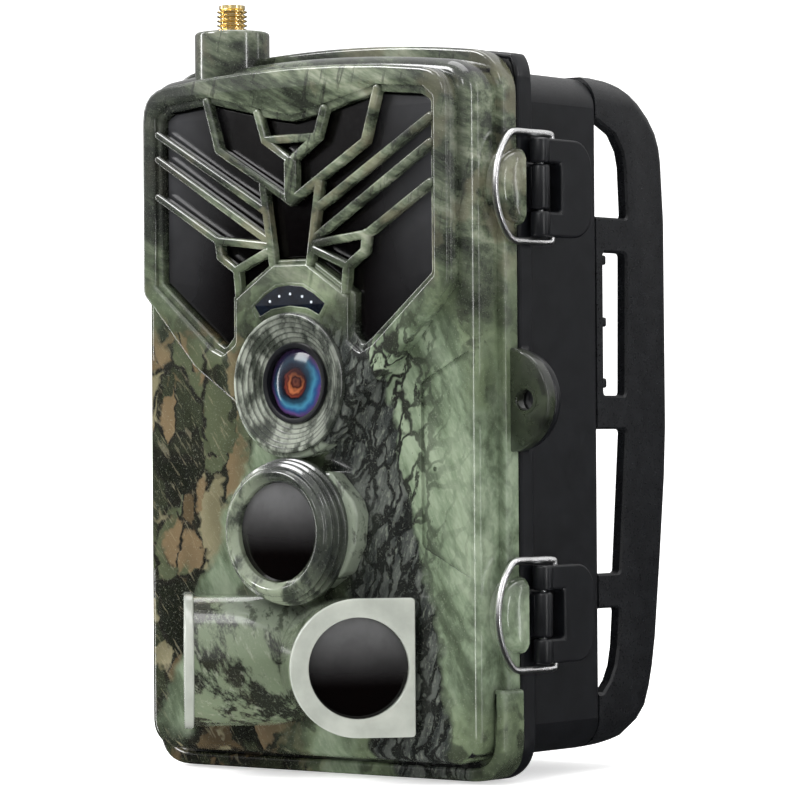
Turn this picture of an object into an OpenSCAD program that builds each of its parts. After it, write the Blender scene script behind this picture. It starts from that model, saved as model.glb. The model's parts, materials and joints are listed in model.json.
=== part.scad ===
// Trail camera: a two-part hinged case with an infrared flash behind a chevron grille,
// a camera lens, three motion sensors, two wire latches and a rear strap bracket.
// Millimetres. The front faces -Y and +Z is up. The origin is the mouth of the tripod thread.

/* [Case] */
// Width over the front and rear flanges
case_w = 90; // [89.8:0.1:90.2]
// Height from the foot to the top of the arched flange
case_h = 149.5; // [149.3:0.1:150]
// Radius of the shallow arch along the top
arch_r = 300; // [280:10:340]
// Depth of the front cover, parting face to panel
cover_d = 13.8; // [13.7:0.1:14]
// Width of the cover's panel
panel_w = 86.6; // [86.4:0.1:86.8]
// Height of the grille frame above the panel
frame_rise = 4.2; // [4.1:0.1:4.6]
// Thickness of the case walls
wall = 2; // [1.9:0.1:2.1]
// Depth of the flanges on both sides of the parting face
flange_t = 4.9; // [4.8:0.1:5.1]
// Depth of the rear case
rear_d = 31; // [31:0.1:31.3]
// Width of the rear case
rear_w = 84; // [83.8:0.1:84.2]

/* [Optics] */
// Outer radius of the stepped lens ring
lens_ring_r = 14.4; // [14:0.1:14.5]
// Radius of the front lens element
lens_r = 7.1; // [6.6:0.1:7.3]
// Outer radius of the centre motion sensor barrel
pir_r = 15.1; // [14.6:0.1:15.3]
// Radius of each round sensor window
window_r = 10.1; // [9.6:0.1:10.2]
// Angle that each side sensor is turned outward
pod_turn = 48; // [47:0.5:49]
// Radius of the round end of each side sensor face
pod_r = 13.9; // [13.6:0.1:13.9]

/* [Latches and hinge] */
// Height of the upper latch
latch_hi = 119.3; // [118:0.5:121]
// Height of the lower latch
latch_lo = 33.4; // [32.5:0.1:35]
// Radius of the latch wire
wire_r = 0.7; // [0.6:0.05:0.75]
// Radius of the steel hinge pins
hinge_pin_r = 1.25; // [1.1:0.05:1.3]
// Running clearance between a pin and its bore
run_gap = 0.06; // [0.04:0.01:0.09]

/* [Rear bracket] */
// Thickness of the bracket's side walls
bracket_t = 2.3; // [2.1:0.1:2.6]
// Depth of the bracket's mounting plate
plate_t = 2.6; // [2.4:0.1:2.7]

/* [Hidden] */
$fn = 64;

// colours
camo = [0.45, 0.52, 0.38];
pale = [0.66, 0.70, 0.62];
black = [0.13, 0.13, 0.14];
gloss = [0.04, 0.04, 0.05];
board = [0.10, 0.32, 0.18];
steel = [0.78, 0.79, 0.80];
gold = [0.85, 0.65, 0.25];
clear = [0.35, 0.40, 0.50];

// main levels, measured from the parting face (Y) and from the foot (Z)
half_gap = 0.15;
frame_y = cover_d + frame_rise;
flange_r = 8;
panel_z0 = 3.9;
panel_z1 = 147;
panel_r = 6;
foot_w = 92;
foot_h = 18.8;
foot_y = 7.5;
rear_z0 = 4.4;
rear_z1 = 143.6;
rear_r = 6.5;
eps = 0.01;

// tripod thread, which holds the origin
thread_y = 17;
thread_r = 2.6;
insert_r = 4.5;
insert_h = 8;

// axes on the front
lens_z = 80.4;
pir_z = 50.1;
pod_x = 30.9;
pod_y = 16.4;
pod_z = 23.3;
pod_flat = 11.4;
bezel_t = 2;
sma_x = -24;
sma_y = -7.6;
sma_top = 154.4;
sma_r = 3.175;
boss_r = 7.85;
boss_z0 = 144.6;
thread_gap = 0.1;
thread_h = 4.7;
neck_r = 3;
mic_x = 33.5;
mic_z = 62.8;

// depth levels inside the cover
filter_y = -11.7;
filter_t = 1.2;
board_y = -5;
board_t = 1.6;
tray_y0 = -3.2;
tray_y1 = -1.4;
post_r = 2.6;
screw_r = 1;
cover_posts = [[12, 141.6], [37.8, 84], [37.6, 9.5]];

// hinge and latch axes
hinge_x = -48.4;
hinge_r = 3;
knuckle_z = [[24, 112], [32.3, 120.3], [40.6, 128.6]];
knuckle_h = 8;
pivot = [47.4, 4];
bail_pivot = [47, 8.5];
latch_pin_r = 0.8;
knuckle_r = 2;
lever_half = 9.9;
web_half = 4.6;
lug_x = 43.6;
lug_z = 76.5;
lug_r = 10.6;
lug_hole_x = 48.5;
lug_hole_r = 2.2;

// battery bay
cell_r = 7.25;
cell_y = 12.5;
cell_h = 49.3;
cell_x = [-23.4, -7.8, 7.8, 23.4];
cell_z = [19.5, 78];
floor_y = 19.9;
floor_t = 1.6;
tray_tabs = [[20, 12], [20, 136]];

// port
port_x = -22;
port_y = 12.5;
flap_axis = [19.6, 3.2];

// Moves the case frame so that the tripod thread's mouth is the origin.
module placed() {
  translate([0, -thread_y, -rear_z0])
    children();
}

// Draws an X-Z outline and extrudes it along Y.
module slab_y(y0, y1) {
  translate([0, y1, 0])
    rotate([90, 0, 0])
      linear_extrude(y1 - y0)
        children();
}

// Draws a Y-Z outline and extrudes it along X.
module slab_x(x0, x1) {
  translate([x0, 0, 0])
    rotate([90, 0, 90])
      linear_extrude(x1 - x0)
        children();
}

// Draws an X-Y outline and extrudes it along Z.
module slab_z(z0, z1) {
  translate([0, 0, z0])
    linear_extrude(z1 - z0)
      children();
}

module rod_y(x, z, y0, y1, r) {
  translate([x, y1, z])
    rotate([90, 0, 0])
      cylinder(h = y1 - y0, r = r);
}

module rod_z(x, y, z0, z1, r) {
  translate([x, y, z0])
    cylinder(h = z1 - z0, r = r);
}

module rod_x(y, z, x0, x1, r) {
  translate([x0, y, z])
    rotate([0, 90, 0])
      cylinder(h = x1 - x0, r = r);
}

// Turns a lathe profile of [radius, height] points to face the front from depth y.
module lathe_y(x, z, y, profile) {
  translate([x, y, z])
    rotate([90, 0, 0])
      rotate_extrude()
        polygon(profile);
}

module box(x0, x1, y0, y1, z0, z1) {
  translate([x0, y0, z0])
    cube([x1 - x0, y1 - y0, z1 - z0]);
}

module both_sides() {
  children();
  mirror([1, 0, 0])
    children();
}

// Mirrors right-hand points to the left and joins them into one outline.
function both(p) = concat(p, [for (i = [len(p) - 1:-1:0]) if (p[i][0] > 0) [-p[i][0], p[i][1]]]);

module rounded(w, z0, z1, r) {
  translate([-w / 2 + r, z0])
    square([w - 2 * r, z1 - z0]);
  translate([-w / 2, z0 + r])
    square([w, z1 - z0 - 2 * r]);
  for (x = [-w / 2 + r, w / 2 - r], z = [z0 + r, z1 - r])
    translate([x, z])
      circle(r);
}

// Rounded outline with a shallow arch along the top, drawn inset by i.
module arched(w, z0, z1, r, i = 0) {
  intersection() {
    rounded(w - 2 * i, z0 + i, z1 - i, max(r - i, 1));
    translate([0, z1 - arch_r])
      circle(arch_r - i, $fn = 240);
  }
}

module flange_outline(i = 0) {
  arched(case_w, 0, case_h, flange_r, i);
}

module panel_outline(i = 0) {
  arched(panel_w, panel_z0, panel_z1, panel_r, i);
}

module foot_outline() {
  intersection() {
    rounded(foot_w, 0, case_h, flange_r);
    translate([-foot_w, 0])
      square([2 * foot_w, foot_h]);
  }
}

// ---- front cover ----

// Opening of the infrared window, and the shallow step around it.
opening = [[0, 133.9], [8.4, 135.3], [11.6, 136.3], [22.4, 138.7], [33.5, 137.6], [35.8, 136.2],
  [35.8, 102], [20.3, 89.2], [18.3, 88], [16.2, 90.2], [16.2, 98.5], [4.8, 105.8], [0, 105.8]];
opening_step = [[0, 135], [11.4, 137.6], [22.5, 140.1], [34.2, 139], [37, 136.8], [37, 101.4],
  [21, 87.8], [18.3, 86.6], [15, 88.8], [15, 98], [4.4, 104.9], [0, 104.9]];
step_d = 1.1;
rib_w = 1.7;
rib_back = 2.4;
rib_sink = 0.1;
rib_over = 0.45;

// Right-hand ribs of the chevron grille, each a chain of points.
ribs = [[[22.6, 139.3], [19.5, 128.9], [1.8, 118.7], [0, 117.3]],
  [[35.9, 132.8], [7.3, 116.1]],
  [[35.9, 127.6], [6.4, 109.9]],
  [[36, 119.7], [19.8, 110.2], [6.3, 108.7]],
  [[19.7, 110.2], [19.2, 106.8], [14.6, 103.8], [14.1, 99.2]],
  [[14.4, 104.2], [6.4, 107.4]],
  [[7.4, 120.8], [5, 105]],
  [[8.9, 135.9], [6.9, 130.4], [0, 125.9]],
  [[6.9, 130.4], [0, 130.4]]];
stem = [3.2, 118, 126.4];

// Straight rib from a to b, run on past both ends so that bends overlap.
module bar(a, b) {
  translate(a)
    rotate(atan2(b[1] - a[1], b[0] - a[0]))
      translate([-rib_over, -rib_w / 2])
        square([norm(b - a) + 2 * rib_over, rib_w]);
}

module rib_chain(p) {
  for (i = [1:len(p) - 1])
    bar(p[i - 1], p[i]);
}

// Chains that reach the middle run on across it; the others are drawn on both sides.
module ribs_2d() {
  for (p = ribs)
    if (p[len(p) - 1][0] == 0)
      rib_chain(both(p));
    else
      both_sides()
        rib_chain(p);
  translate([-stem[0] / 2, stem[1]])
    square([stem[0], stem[2] - stem[1]]);
}

collar_r = 15.6;
frame_w = 80.8;
frame_top = 145;
frame_corner = 4.5;
frame_cut = [[0, 160], [50, 160], [50, 109.5], [26, 83.7], [15.6, 76], [0, 76]];

module frame_2d() {
  intersection() {
    arched(frame_w, 50, frame_top, frame_corner);
    polygon(both(frame_cut));
  }
  translate([0, lens_z])
    circle(collar_r);
}

status_outline = [[0, 100.4], [3.4, 100.1], [6.4, 98.6], [9.4, 96.4], [7.8, 94.2], [4.8, 95.6], [0, 96.2]];
status_spots = [[-4.4, 97.6], [0, 98.3], [4.4, 97.6]];
status_d = 1.2;
status_led_r = 1.1;

module ir_frame() {
  color(camo)
    placed() {
      difference() {
        slab_y(-frame_y, -cover_d)
          frame_2d();
        slab_y(-frame_y - 1, -cover_d + 1)
          polygon(both(opening));
        slab_y(-frame_y - 1, -frame_y + step_d)
          polygon(both(opening_step));
        rod_y(0, lens_z, -frame_y - 1, -cover_d + 1, lens_ring_r + 0.1);
        slab_y(-frame_y - 1, -frame_y + status_d)
          polygon(both(status_outline));
        for (p = status_spots)
          rod_y(p[0], p[1], -frame_y, -cover_d + 1, status_led_r + 0.1);
      }
      slab_y(-frame_y + rib_sink, -frame_y + rib_back)
        ribs_2d();
    }
}

// Cut through the panel behind the grille.
panel_window = [[0, 134.5], [10.7, 136.8], [22.4, 139], [36, 137.5], [36, 101.5], [20.3, 88.4],
  [16, 88], [16, 98], [4.8, 105.2], [0, 105.2]];
boss_outline = [[0, 62.4], [10.3, 62.4], [16.2, 56.4], [17.2, 53.6], [16.6, 47.6], [13.8, 42],
  [8.2, 38.6], [0, 37.6]];
side_pad = [[44.4, 87.5], [30.6, 80.6], [30.6, 47], [44.4, 40.1]];
pad_d = 0.7;
barrel_hole_r = 8.6;
well_r = 8.8;
can_r = 4.1;
can_h = 3;
disc_r = 5.5;
disc_t = 1;
lead_r = 2;
lead_x = 11;

// Latch keeper: an X-Y wedge inside a cone of [start, length, first radius, last radius] along X.
keeper = [[42, -8.1], [44.45, -8.1], [47.6, -1.5], [47.6, -0.15], [42, -0.15]];
keeper_cone = [41.5, 8.5, 10.2, 2.5];
recess = [4.8, 13.8, 0.5];

module keeper_at(z) {
  intersection() {
    slab_z(z - keeper_cone[2], z + keeper_cone[2])
      polygon(keeper);
    translate([keeper_cone[0], -half_gap, z])
      rotate([0, 90, 0])
        cylinder(h = keeper_cone[1], r1 = keeper_cone[2], r2 = keeper_cone[3]);
  }
}

module latch_recess(z) {
  intersection() {
    rod_x(recess[0], z, panel_w / 2 - recess[2], panel_w / 2 + 1, recess[1]);
    box(40, 46, -cover_d, -flange_t, z - recess[1], z + recess[1]);
  }
}

module knuckles(picks) {
  for (i = picks, z = knuckle_z[i])
    rod_z(hinge_x, 0, z, z + knuckle_h, hinge_r);
}

module knuckle_arms(picks, y0, y1) {
  for (i = picks, z = knuckle_z[i])
    box(hinge_x, -case_w / 2 + 1, y0, y1, z, z + knuckle_h);
}

module pir_well(y) {
  rod_y(0, pir_z, y - 1, -cover_d - 1.2, well_r);
  rod_y(0, pir_z, y - 1, 0, disc_r + 0.1);
}

module front_shell() {
  color(camo)
    placed()
      difference() {
        union() {
          difference() {
            union() {
              slab_y(-flange_t, -half_gap)
                flange_outline();
              slab_y(-cover_d, -flange_t)
                panel_outline();
              slab_y(-foot_y, -half_gap)
                foot_outline();
            }
            slab_y(-cover_d + wall, 1)
              panel_outline(wall);
            for (z = [latch_hi, latch_lo])
              latch_recess(z);
          }
          slab_y(-frame_y, -cover_d + eps)
            polygon(both(boss_outline));
          both_sides()
            for (p = cover_posts)
              rod_y(p[0], p[1], -cover_d + wall - eps, tray_y0, post_r);
          for (z = [latch_hi, latch_lo])
            keeper_at(z);
          slab_y(-3.15, -half_gap)
            intersection() {
              translate([lug_x, lug_z])
                circle(lug_r);
              translate([case_w / 2 - 1, 0])
                square([20, case_h]);
            }
          intersection() {
            rod_z(sma_x, sma_y, boss_z0, sma_top, boss_r);
            box(-40, 0, -20, -half_gap, 100, 170);
          }
          knuckles([1]);
          knuckle_arms([1], -hinge_r, -half_gap);
        }
        slab_y(-cover_d - 1, -cover_d + wall + 1)
          polygon(both(panel_window));
        both_sides()
          slab_y(-cover_d - 1, -cover_d + pad_d)
            polygon(side_pad);
        rod_y(0, lens_z, -cover_d - 1, 0, barrel_hole_r);
        pir_well(-frame_y);
        both_sides()
          rod_y(lead_x, pod_z, -cover_d - 1, 0, lead_r + 0.6);
        for (p = status_spots)
          rod_y(p[0], p[1], -cover_d - 1, 0, status_led_r + 0.1);
        both_sides()
          for (p = cover_posts)
            rod_y(p[0], p[1], -cover_d + wall + 1, 0, screw_r + 0.05);
        rod_y(mic_x, mic_z, -cover_d - 1, 0, 0.5);
        rod_z(sma_x, sma_y, 130, sma_top + 1, neck_r + 0.05);
        rod_y(lug_hole_x, lug_z, -10, 0, lug_hole_r);
        lathe_y(lug_hole_x, lug_z, -2.6, [[0, 0], [lug_hole_r, 0], [lug_hole_r + 0.6, 0.6], [0, 0.6]]);
        rod_z(hinge_x, 0, 10, 140, hinge_pin_r + run_gap);
      }
}

filter_outline = [[0, 136.5], [14.6, 138.4], [22, 140.3], [36.9, 139], [36.9, 100.5], [20.6, 86.2],
  [14.4, 86.2], [14.4, 96.5], [9.4, 99.9], [9.4, 101.6], [0, 103.6]];

// Raised face of the filter, which stands in the grille's opening just behind the ribs.
filter_face = [[0, 133.6], [8.5, 135], [11.7, 136], [22.4, 138.4], [33.4, 137.3], [35.5, 136], [35.5, 102.1],
  [20.1, 89.6], [18.4, 88.5], [16.5, 90.4], [16.5, 98.7], [4.9, 106.1], [0, 106.1]];
filter_face_y = -15.3;

module ir_filter() {
  color(gloss)
    placed() {
      slab_y(filter_y, filter_y + filter_t)
        polygon(both(filter_outline));
      slab_y(filter_face_y, filter_y + eps)
        polygon(both(filter_face));
    }
}

led_rows = [101, 107.4, 113.8, 120.2, 126.6, 133];
led_cols = [19.6, 26.2, 32.8];
led_r = 1.5;
led_h = 1.9;

// Lathe profile of a round dome on top of a cylinder of radius r and height h.
function dome(r, h) = [for (a = [0:15:90]) [a == 90 ? 0 : r * cos(a), h + r * sin(a)]];

module ir_led_board() {
  color(board)
    placed()
      slab_y(board_y - board_t - 0.3, board_y - 0.3)
        rounded(73, 97, 138.3, 2);
}

module ir_leds() {
  color(clear)
    placed()
      both_sides()
        for (x = led_cols, z = led_rows)
          lathe_y(x, z, board_y - board_t - 0.3, concat([[0, 0], [led_r, 0]], dome(led_r, led_h)));
}

module status_window() {
  color(clear)
    placed()
      intersection() {
        slab_y(-frame_y + 0.1, -frame_y + status_d - 0.05)
          polygon(both(status_outline));
        slab_y(-frame_y, -frame_y + status_d)
          scale([0.985, 1])
            polygon(both(status_outline));
      }
}

module status_leds() {
  color(pale)
    placed()
      for (p = status_spots)
        rod_y(p[0], p[1], -frame_y + status_d + 0.1, -cover_d + wall, status_led_r);
}

// Steps of the lens ring, from the rim inward and down.
step_n = 5;
ring_h = 5.4;
ring_w = 1;
ring_drop = 0.6;

module lens_ring() {
  color(camo)
    placed()
      lathe_y(0, lens_z, -cover_d - 0.1, concat(
        [[barrel_hole_r, 0], [lens_ring_r, 0], [lens_ring_r, ring_h - 0.4], [lens_ring_r - 0.3, ring_h]],
        [for (i = [0:step_n - 1], k = [0, 1]) [lens_ring_r - 1 - i * ring_w, ring_h - (i + k) * ring_drop]],
        [[barrel_hole_r, ring_h - step_n * ring_drop]]));
}

barrel_y = -16.9;
barrel_r = 8.2;
barrel_bore = 6.3;

module lens_barrel() {
  color(black)
    placed()
      difference() {
        rod_y(0, lens_z, barrel_y, board_y - board_t - 0.1, barrel_r);
        rod_y(0, lens_z, barrel_y - 1, board_y, barrel_bore);
        rod_y(0, lens_z, barrel_y - 1, barrel_y + 2.4, lens_r + 0.1);
      }
}

// Lathe profile of a shallow cap of height d on a disc of radius r and height h.
function cap(r, h, d) = [for (t = [8:-1:0]) [r * t / 8, h + d * (1 - t * t / 64)]];

module lens_front() {
  color(clear)
    placed()
      lathe_y(0, lens_z, barrel_y + 2.4, concat([[0, 0], [lens_r, 0]], cap(lens_r, 0.8, 1.6)));
}

module lens_iris() {
  color(black)
    placed()
      difference() {
        rod_y(0, lens_z, -13.6, -13, barrel_bore - 0.05);
        rod_y(0, lens_z, -14, -12, 2.2);
      }
}

module lens_rear() {
  color(clear)
    placed()
      rod_y(0, lens_z, -12.4, -10.6, barrel_bore - 0.05);
}

module image_sensor() {
  color(gloss)
    placed()
      box(-4, 4, board_y - board_t - 1.2, board_y - board_t, lens_z - 4, lens_z + 4);
}

// Ridged barrel around the centre sensor, as [radius, height] from the boss face.
pir_profile = [[9, 0], [pir_r, 0], [pir_r, 1], [pir_r - 0.9, 1.3], [pir_r - 0.9, 1.6],
  [pir_r - 0.4, 1.8], [pir_r - 0.4, 2.6], [pir_r - 1.3, 2.9], [pir_r - 1.3, 3.2],
  [pir_r - 0.9, 3.4], [pir_r - 0.9, 4.1], [pir_r - 1.9, 4.5], [pir_r - 2.1, 5.2],
  [pir_r - 2.8, 6], [pir_r - 3.5, 6], [10.3, 4.5], [10.3, 3.1], [9, 3.1]];

module pir_barrel() {
  color(camo)
    placed()
      lathe_y(0, pir_z, -frame_y, pir_profile);
}

module centre_window() {
  color(gloss)
    placed()
      rod_y(0, pir_z, -frame_y - 4.4, -frame_y - 3.15, window_r);
}

// Places children on the right-hand side sensor, local Z along the sensor's view.
module at_pod() {
  translate([pod_x, -pod_y, pod_z])
    rotate([90, 0, pod_turn])
      children();
}

module pod_face(i) {
  translate([-pod_flat, -pod_r + i])
    square([pod_flat - i, 2 * pod_r - 2 * i]);
  intersection() {
    translate([-pod_flat, 0])
      circle(pod_r - i);
    translate([-pod_flat - 2 * pod_r, -pod_r])
      square([2 * pod_r + 1, 2 * pod_r]);
  }
}

module pod_rod(z0, z1, r) {
  at_pod()
    translate([-pod_flat, 0, z0])
      cylinder(h = z1 - z0, r = r);
}

module pod_body() {
  intersection() {
    difference() {
      at_pod()
        translate([0, 0, -34])
          linear_extrude(34 - bezel_t)
            pod_face(0.4);
      pod_rod(-6, 1, well_r);
      pod_rod(-10, 1, disc_r + 0.1);
      pod_rod(-30, 1, lead_r);
    }
    box(0.1, 40, -60, -cover_d, 0, 60);
  }
}

module side_pod_right() {
  color(camo)
    placed()
      pod_body();
}

module side_pod_left() {
  color(camo)
    placed()
      mirror([1, 0, 0])
        pod_body();
}

module pod_bezel() {
  difference() {
    at_pod()
      translate([0, 0, -bezel_t])
        linear_extrude(bezel_t)
          pod_face(0);
    pod_rod(-bezel_t - 1, 1, window_r - 0.4);
    pod_rod(-bezel_t - 1, -0.8, window_r + 0.05);
  }
}

module side_bezel_right() {
  color(pale)
    placed()
      pod_bezel();
}

module side_bezel_left() {
  color(pale)
    placed()
      mirror([1, 0, 0])
        pod_bezel();
}

module side_window_right() {
  color(gloss)
    placed()
      pod_rod(-bezel_t, -0.85, window_r);
}

module side_window_left() {
  color(gloss)
    placed()
      mirror([1, 0, 0])
        pod_rod(-bezel_t, -0.85, window_r);
}

module pir_detectors() {
  color(steel)
    placed() {
      both_sides()
        pod_rod(-10 + disc_t, -10 + disc_t + can_h, can_r);
      rod_y(0, pir_z, -cover_d + 0.4 - can_h, -cover_d + 0.4, can_r);
    }
}

module pir_boards() {
  color(board)
    placed() {
      both_sides()
        pod_rod(-10, -10 + disc_t, disc_r);
      rod_y(0, pir_z, -cover_d + 0.4, -cover_d + 0.4 + disc_t, disc_r);
    }
}

module main_board() {
  color(board)
    placed()
      slab_y(board_y - board_t, board_y)
        rounded(68.8, 8, 95, 2);
}

// Controls on the inner cover, [x, z].
keys = [[-20, 60], [0, 60], [0, 68.6], [0, 51.4], [-8.6, 60], [8.6, 60]];
key_r = 2.6;
key_rim = 3.4;
key_top = -0.8;
switch_x = 24;
switch_z = 34;
switch_run = 6;
lcd_z = 108;
card_x = -20;
card_z = 26;
speaker_x = 25;
speaker_z = 19;

module lcd_box(w, h, y0, y1) {
  box(-w / 2, w / 2, y0, y1, lcd_z - h / 2, lcd_z + h / 2);
}

module inner_cover() {
  color(black)
    placed()
      difference() {
        slab_y(tray_y0, tray_y1)
          panel_outline(wall + 0.4);
        lcd_box(50, 38, tray_y0 - 1, 0);
        for (k = keys)
          rod_y(k[0], k[1], tray_y0 - 1, 0, key_r + 0.3);
        box(switch_x - 1.8, switch_x + 1.8, tray_y0 - 1, 0, switch_z - 2.5, switch_z + switch_run + 2.5);
        box(card_x - 13, card_x + 13, tray_y0 - 1, 0, card_z - 16, card_z - 10);
        for (a = [0:60:300])
          rod_y(speaker_x + 4 * cos(a), speaker_z + 4 * sin(a), tray_y0 - 1, 0, 0.8);
        both_sides()
          for (p = cover_posts) {
            rod_y(p[0], p[1], tray_y0 - 1, 0, screw_r + 0.2);
            rod_y(p[0], p[1], tray_y1 - 0.8, 0, 2.4);
          }
      }
}

module lcd_screen() {
  color(steel)
    placed()
      lcd_box(56, 44, -4.9, -3.3);
}

module lcd_window() {
  color(clear)
    placed()
      lcd_box(49.8, 37.8, -2.8, -1.6);
}

module key(i) {
  color(pale)
    placed() {
      rod_y(keys[i][0], keys[i][1], -3.8, key_top, key_r);
      rod_y(keys[i][0], keys[i][1], -4.1, -3.5, key_rim);
    }
}

module button_menu() { key(0); }
module button_ok() { key(1); }
module button_up() { key(2); }
module button_down() { key(3); }
module button_left() { key(4); }
module button_right() { key(5); }

module button_domes() {
  color(steel)
    placed()
      for (k = keys)
        rod_y(k[0], k[1], board_y, board_y + 0.3, 1.8);
}

module mode_switch_knob() {
  color(pale)
    placed() {
      box(switch_x - 1.5, switch_x + 1.5, -4, -0.9, switch_z - 2.2, switch_z + 2.2);
      box(switch_x - 3, switch_x + 3, -4.2, -3.6, switch_z - 3.4, switch_z + 3.4);
    }
}

module mode_switch_body() {
  color(steel)
    placed()
      box(switch_x - 4, switch_x + 4, board_y, board_y + 0.5, switch_z - 4, switch_z + switch_run + 4);
}

module card_slot() {
  color(steel)
    placed()
      difference() {
        box(card_x - 14, card_x + 14, board_y, tray_y0 - 0.2, card_z - 10, card_z + 14);
        box(card_x - 12.2, card_x + 12.2, board_y + 0.3, tray_y0 - 0.5, card_z - 11, card_z + 12);
      }
}

module sim_holder() {
  color(steel)
    placed()
      box(2, 15, board_y, board_y + 1.2, 17, 33);
}

module speaker() {
  color(black)
    placed()
      rod_y(speaker_x, speaker_z, board_y, tray_y0 - 0.1, 7.5);
}

module microphone() {
  color(steel)
    placed()
      rod_y(mic_x, mic_z, -cover_d + wall, -cover_d + wall + 2, 2.2);
}

module sma_jack() {
  color(gold)
    placed()
      difference() {
        union() {
          rod_z(sma_x, sma_y, 140.6, sma_top + thread_gap, neck_r);
          rod_z(sma_x, sma_y, sma_top + thread_gap, sma_top + thread_gap + thread_h, sma_r);
          rod_z(sma_x, sma_y, sma_top + thread_gap + thread_h, sma_top + 5.8, 2.7);
        }
        difference() {
          rod_z(sma_x, sma_y, sma_top + 2, sma_top + 7, 2.1);
          rod_z(sma_x, sma_y, sma_top + 1, sma_top + 5, 0.7);
        }
      }
}

module sma_nut() {
  color(gold)
    placed()
      difference() {
        translate([sma_x, sma_y, 141.4])
          cylinder(h = 2, r = 3.9, $fn = 6);
        rod_z(sma_x, sma_y, 141, 144, neck_r + 0.02);
      }
}

module cover_screws() {
  color(steel)
    placed()
      both_sides()
        for (p = cover_posts) {
          rod_y(p[0], p[1], -8.6, tray_y1 - 0.7, screw_r);
          rod_y(p[0], p[1], tray_y1 - 0.8, tray_y1 - 0.1, 2);
        }
}

// ---- rear case ----

groove = [1.3, 2.9, 1.4];

module gasket_ring(extra, y0, y1) {
  slab_y(y0, y1)
    difference() {
      flange_outline(groove[0] - extra);
      flange_outline(groove[1] + extra);
    }
}

module port_hole(g, z0, z1) {
  box(port_x - 5.5 + g, port_x + 5.5 - g, port_y - 3.2 + 2 * g, port_y + 3.2 - g, z0, z1);
}

bracket_screws_at = [[26, 86.5], [26, 99]];

module rear_outer() {
  slab_y(half_gap, flange_t)
    flange_outline();
  slab_y(half_gap, rear_d)
    rounded(rear_w, rear_z0, rear_z1, rear_r);
}

module rear_fittings() {
  knuckles([0, 2]);
  knuckle_arms([0, 2], half_gap, hinge_r);
  for (z = [latch_hi, latch_lo]) {
    rod_z(pivot[0], pivot[1], z - web_half, z + web_half, knuckle_r);
    box(rear_w / 2 - 1, pivot[0], pivot[1] - 1.6, pivot[1] + 1.6, z - web_half, z + web_half);
  }
  slab_y(half_gap, 2.4)
    intersection() {
      translate([lug_x, lug_z])
        circle(lug_r - 0.4);
      translate([case_w / 2 - 1, 0])
        square([20, case_h]);
    }
  for (x = [port_x - 6.3, port_x + 6.3])
    box(x - 0.9, x + 0.9, flap_axis[0] - 1, flap_axis[0] + 1, 2.1, rear_z0 + 0.2);
}

module rear_bosses() {
  rod_z(0, thread_y, rear_z0 + 1, rear_z0 + insert_h + 1.2, insert_r + 1.8);
  for (s = [-1, 1], p = tray_tabs)
    rod_y(s * p[0], p[1], floor_y + floor_t, rear_d - 1, 3);
  for (s = [-1, 1], p = bracket_screws_at)
    rod_y(s * p[0], p[1], rear_d - 7, rear_d - 1, 3.4);
}

module rear_case() {
  color(black)
    placed()
      difference() {
        union() {
          difference() {
            rear_outer();
            slab_y(-1, rear_d - wall)
              rounded(rear_w - 2 * wall, rear_z0 + wall, rear_z1 - wall, rear_r - wall);
          }
          rear_fittings();
          rear_bosses();
        }
        gasket_ring(0.05, -1, groove[2]);
        rod_z(hinge_x, 0, 10, 140, hinge_pin_r + 0.02);
        for (z = [latch_hi, latch_lo])
          rod_z(pivot[0], pivot[1], z - 10, z + 10, latch_pin_r + 0.02);
        rod_y(lug_hole_x, lug_z, -1, 4, lug_hole_r);
        rod_z(0, thread_y, 0, rear_z0 + insert_h, insert_r);
        port_hole(0, rear_z0 - 1, rear_z0 + wall + 1);
        rod_x(flap_axis[0], flap_axis[1], port_x - 8, port_x + 8, 0.66);
        for (s = [-1, 1], p = tray_tabs)
          rod_y(s * p[0], p[1], floor_y, rear_d - 3, screw_r + 0.05);
        for (s = [-1, 1], p = bracket_screws_at)
          rod_y(s * p[0], p[1], rear_d - 6, rear_d + 1, 1.55);
      }
}

module case_gasket() {
  color([0.25, 0.25, 0.26])
    placed()
      gasket_ring(0, half_gap, groove[2]);
}

module battery_tray() {
  color(black)
    placed()
      difference() {
        union() {
          box(-33.5, 33.5, floor_y, floor_y + floor_t, 15, 133);
          for (s = [-1, 1]) {
            box(s * 32.75 - 0.75, s * 32.75 + 0.75, 8, floor_y + eps, 15, 133);
            for (p = tray_tabs)
              box(s * p[0] - 5, s * p[0] + 5, floor_y, floor_y + floor_t, p[1] - 4, p[1] + 4);
          }
          for (z = [15, 73.2, 131.4])
            box(-33, 33, 8, floor_y + eps, z, z + 1.6);
          for (x = [-15.6, 0, 15.6])
            box(x - 0.4, x + 0.4, 15, floor_y + eps, 15, 133);
        }
        for (s = [-1, 1], p = tray_tabs)
          rod_y(s * p[0], p[1], floor_y - 1, floor_y + 3, screw_r + 0.2);
      }
}

// Cells alternate end for end along each bank.
module cell(x, z, up) {
  rod_z(x, cell_y, up ? z : z + 1.2, up ? z + cell_h : z + 1.2 + cell_h, cell_r);
  rod_z(x, cell_y, up ? z + cell_h - eps : z, up ? z + cell_h + 1.2 : z + 1.2 + eps, 2.75);
}

module batteries() {
  color([0.75, 0.62, 0.30])
    placed()
      for (i = [0:len(cell_x) - 1], z = cell_z)
        cell(cell_x[i], z, i % 2 == 0);
}

contact_t = 0.4;
spring_r = 3;

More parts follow.
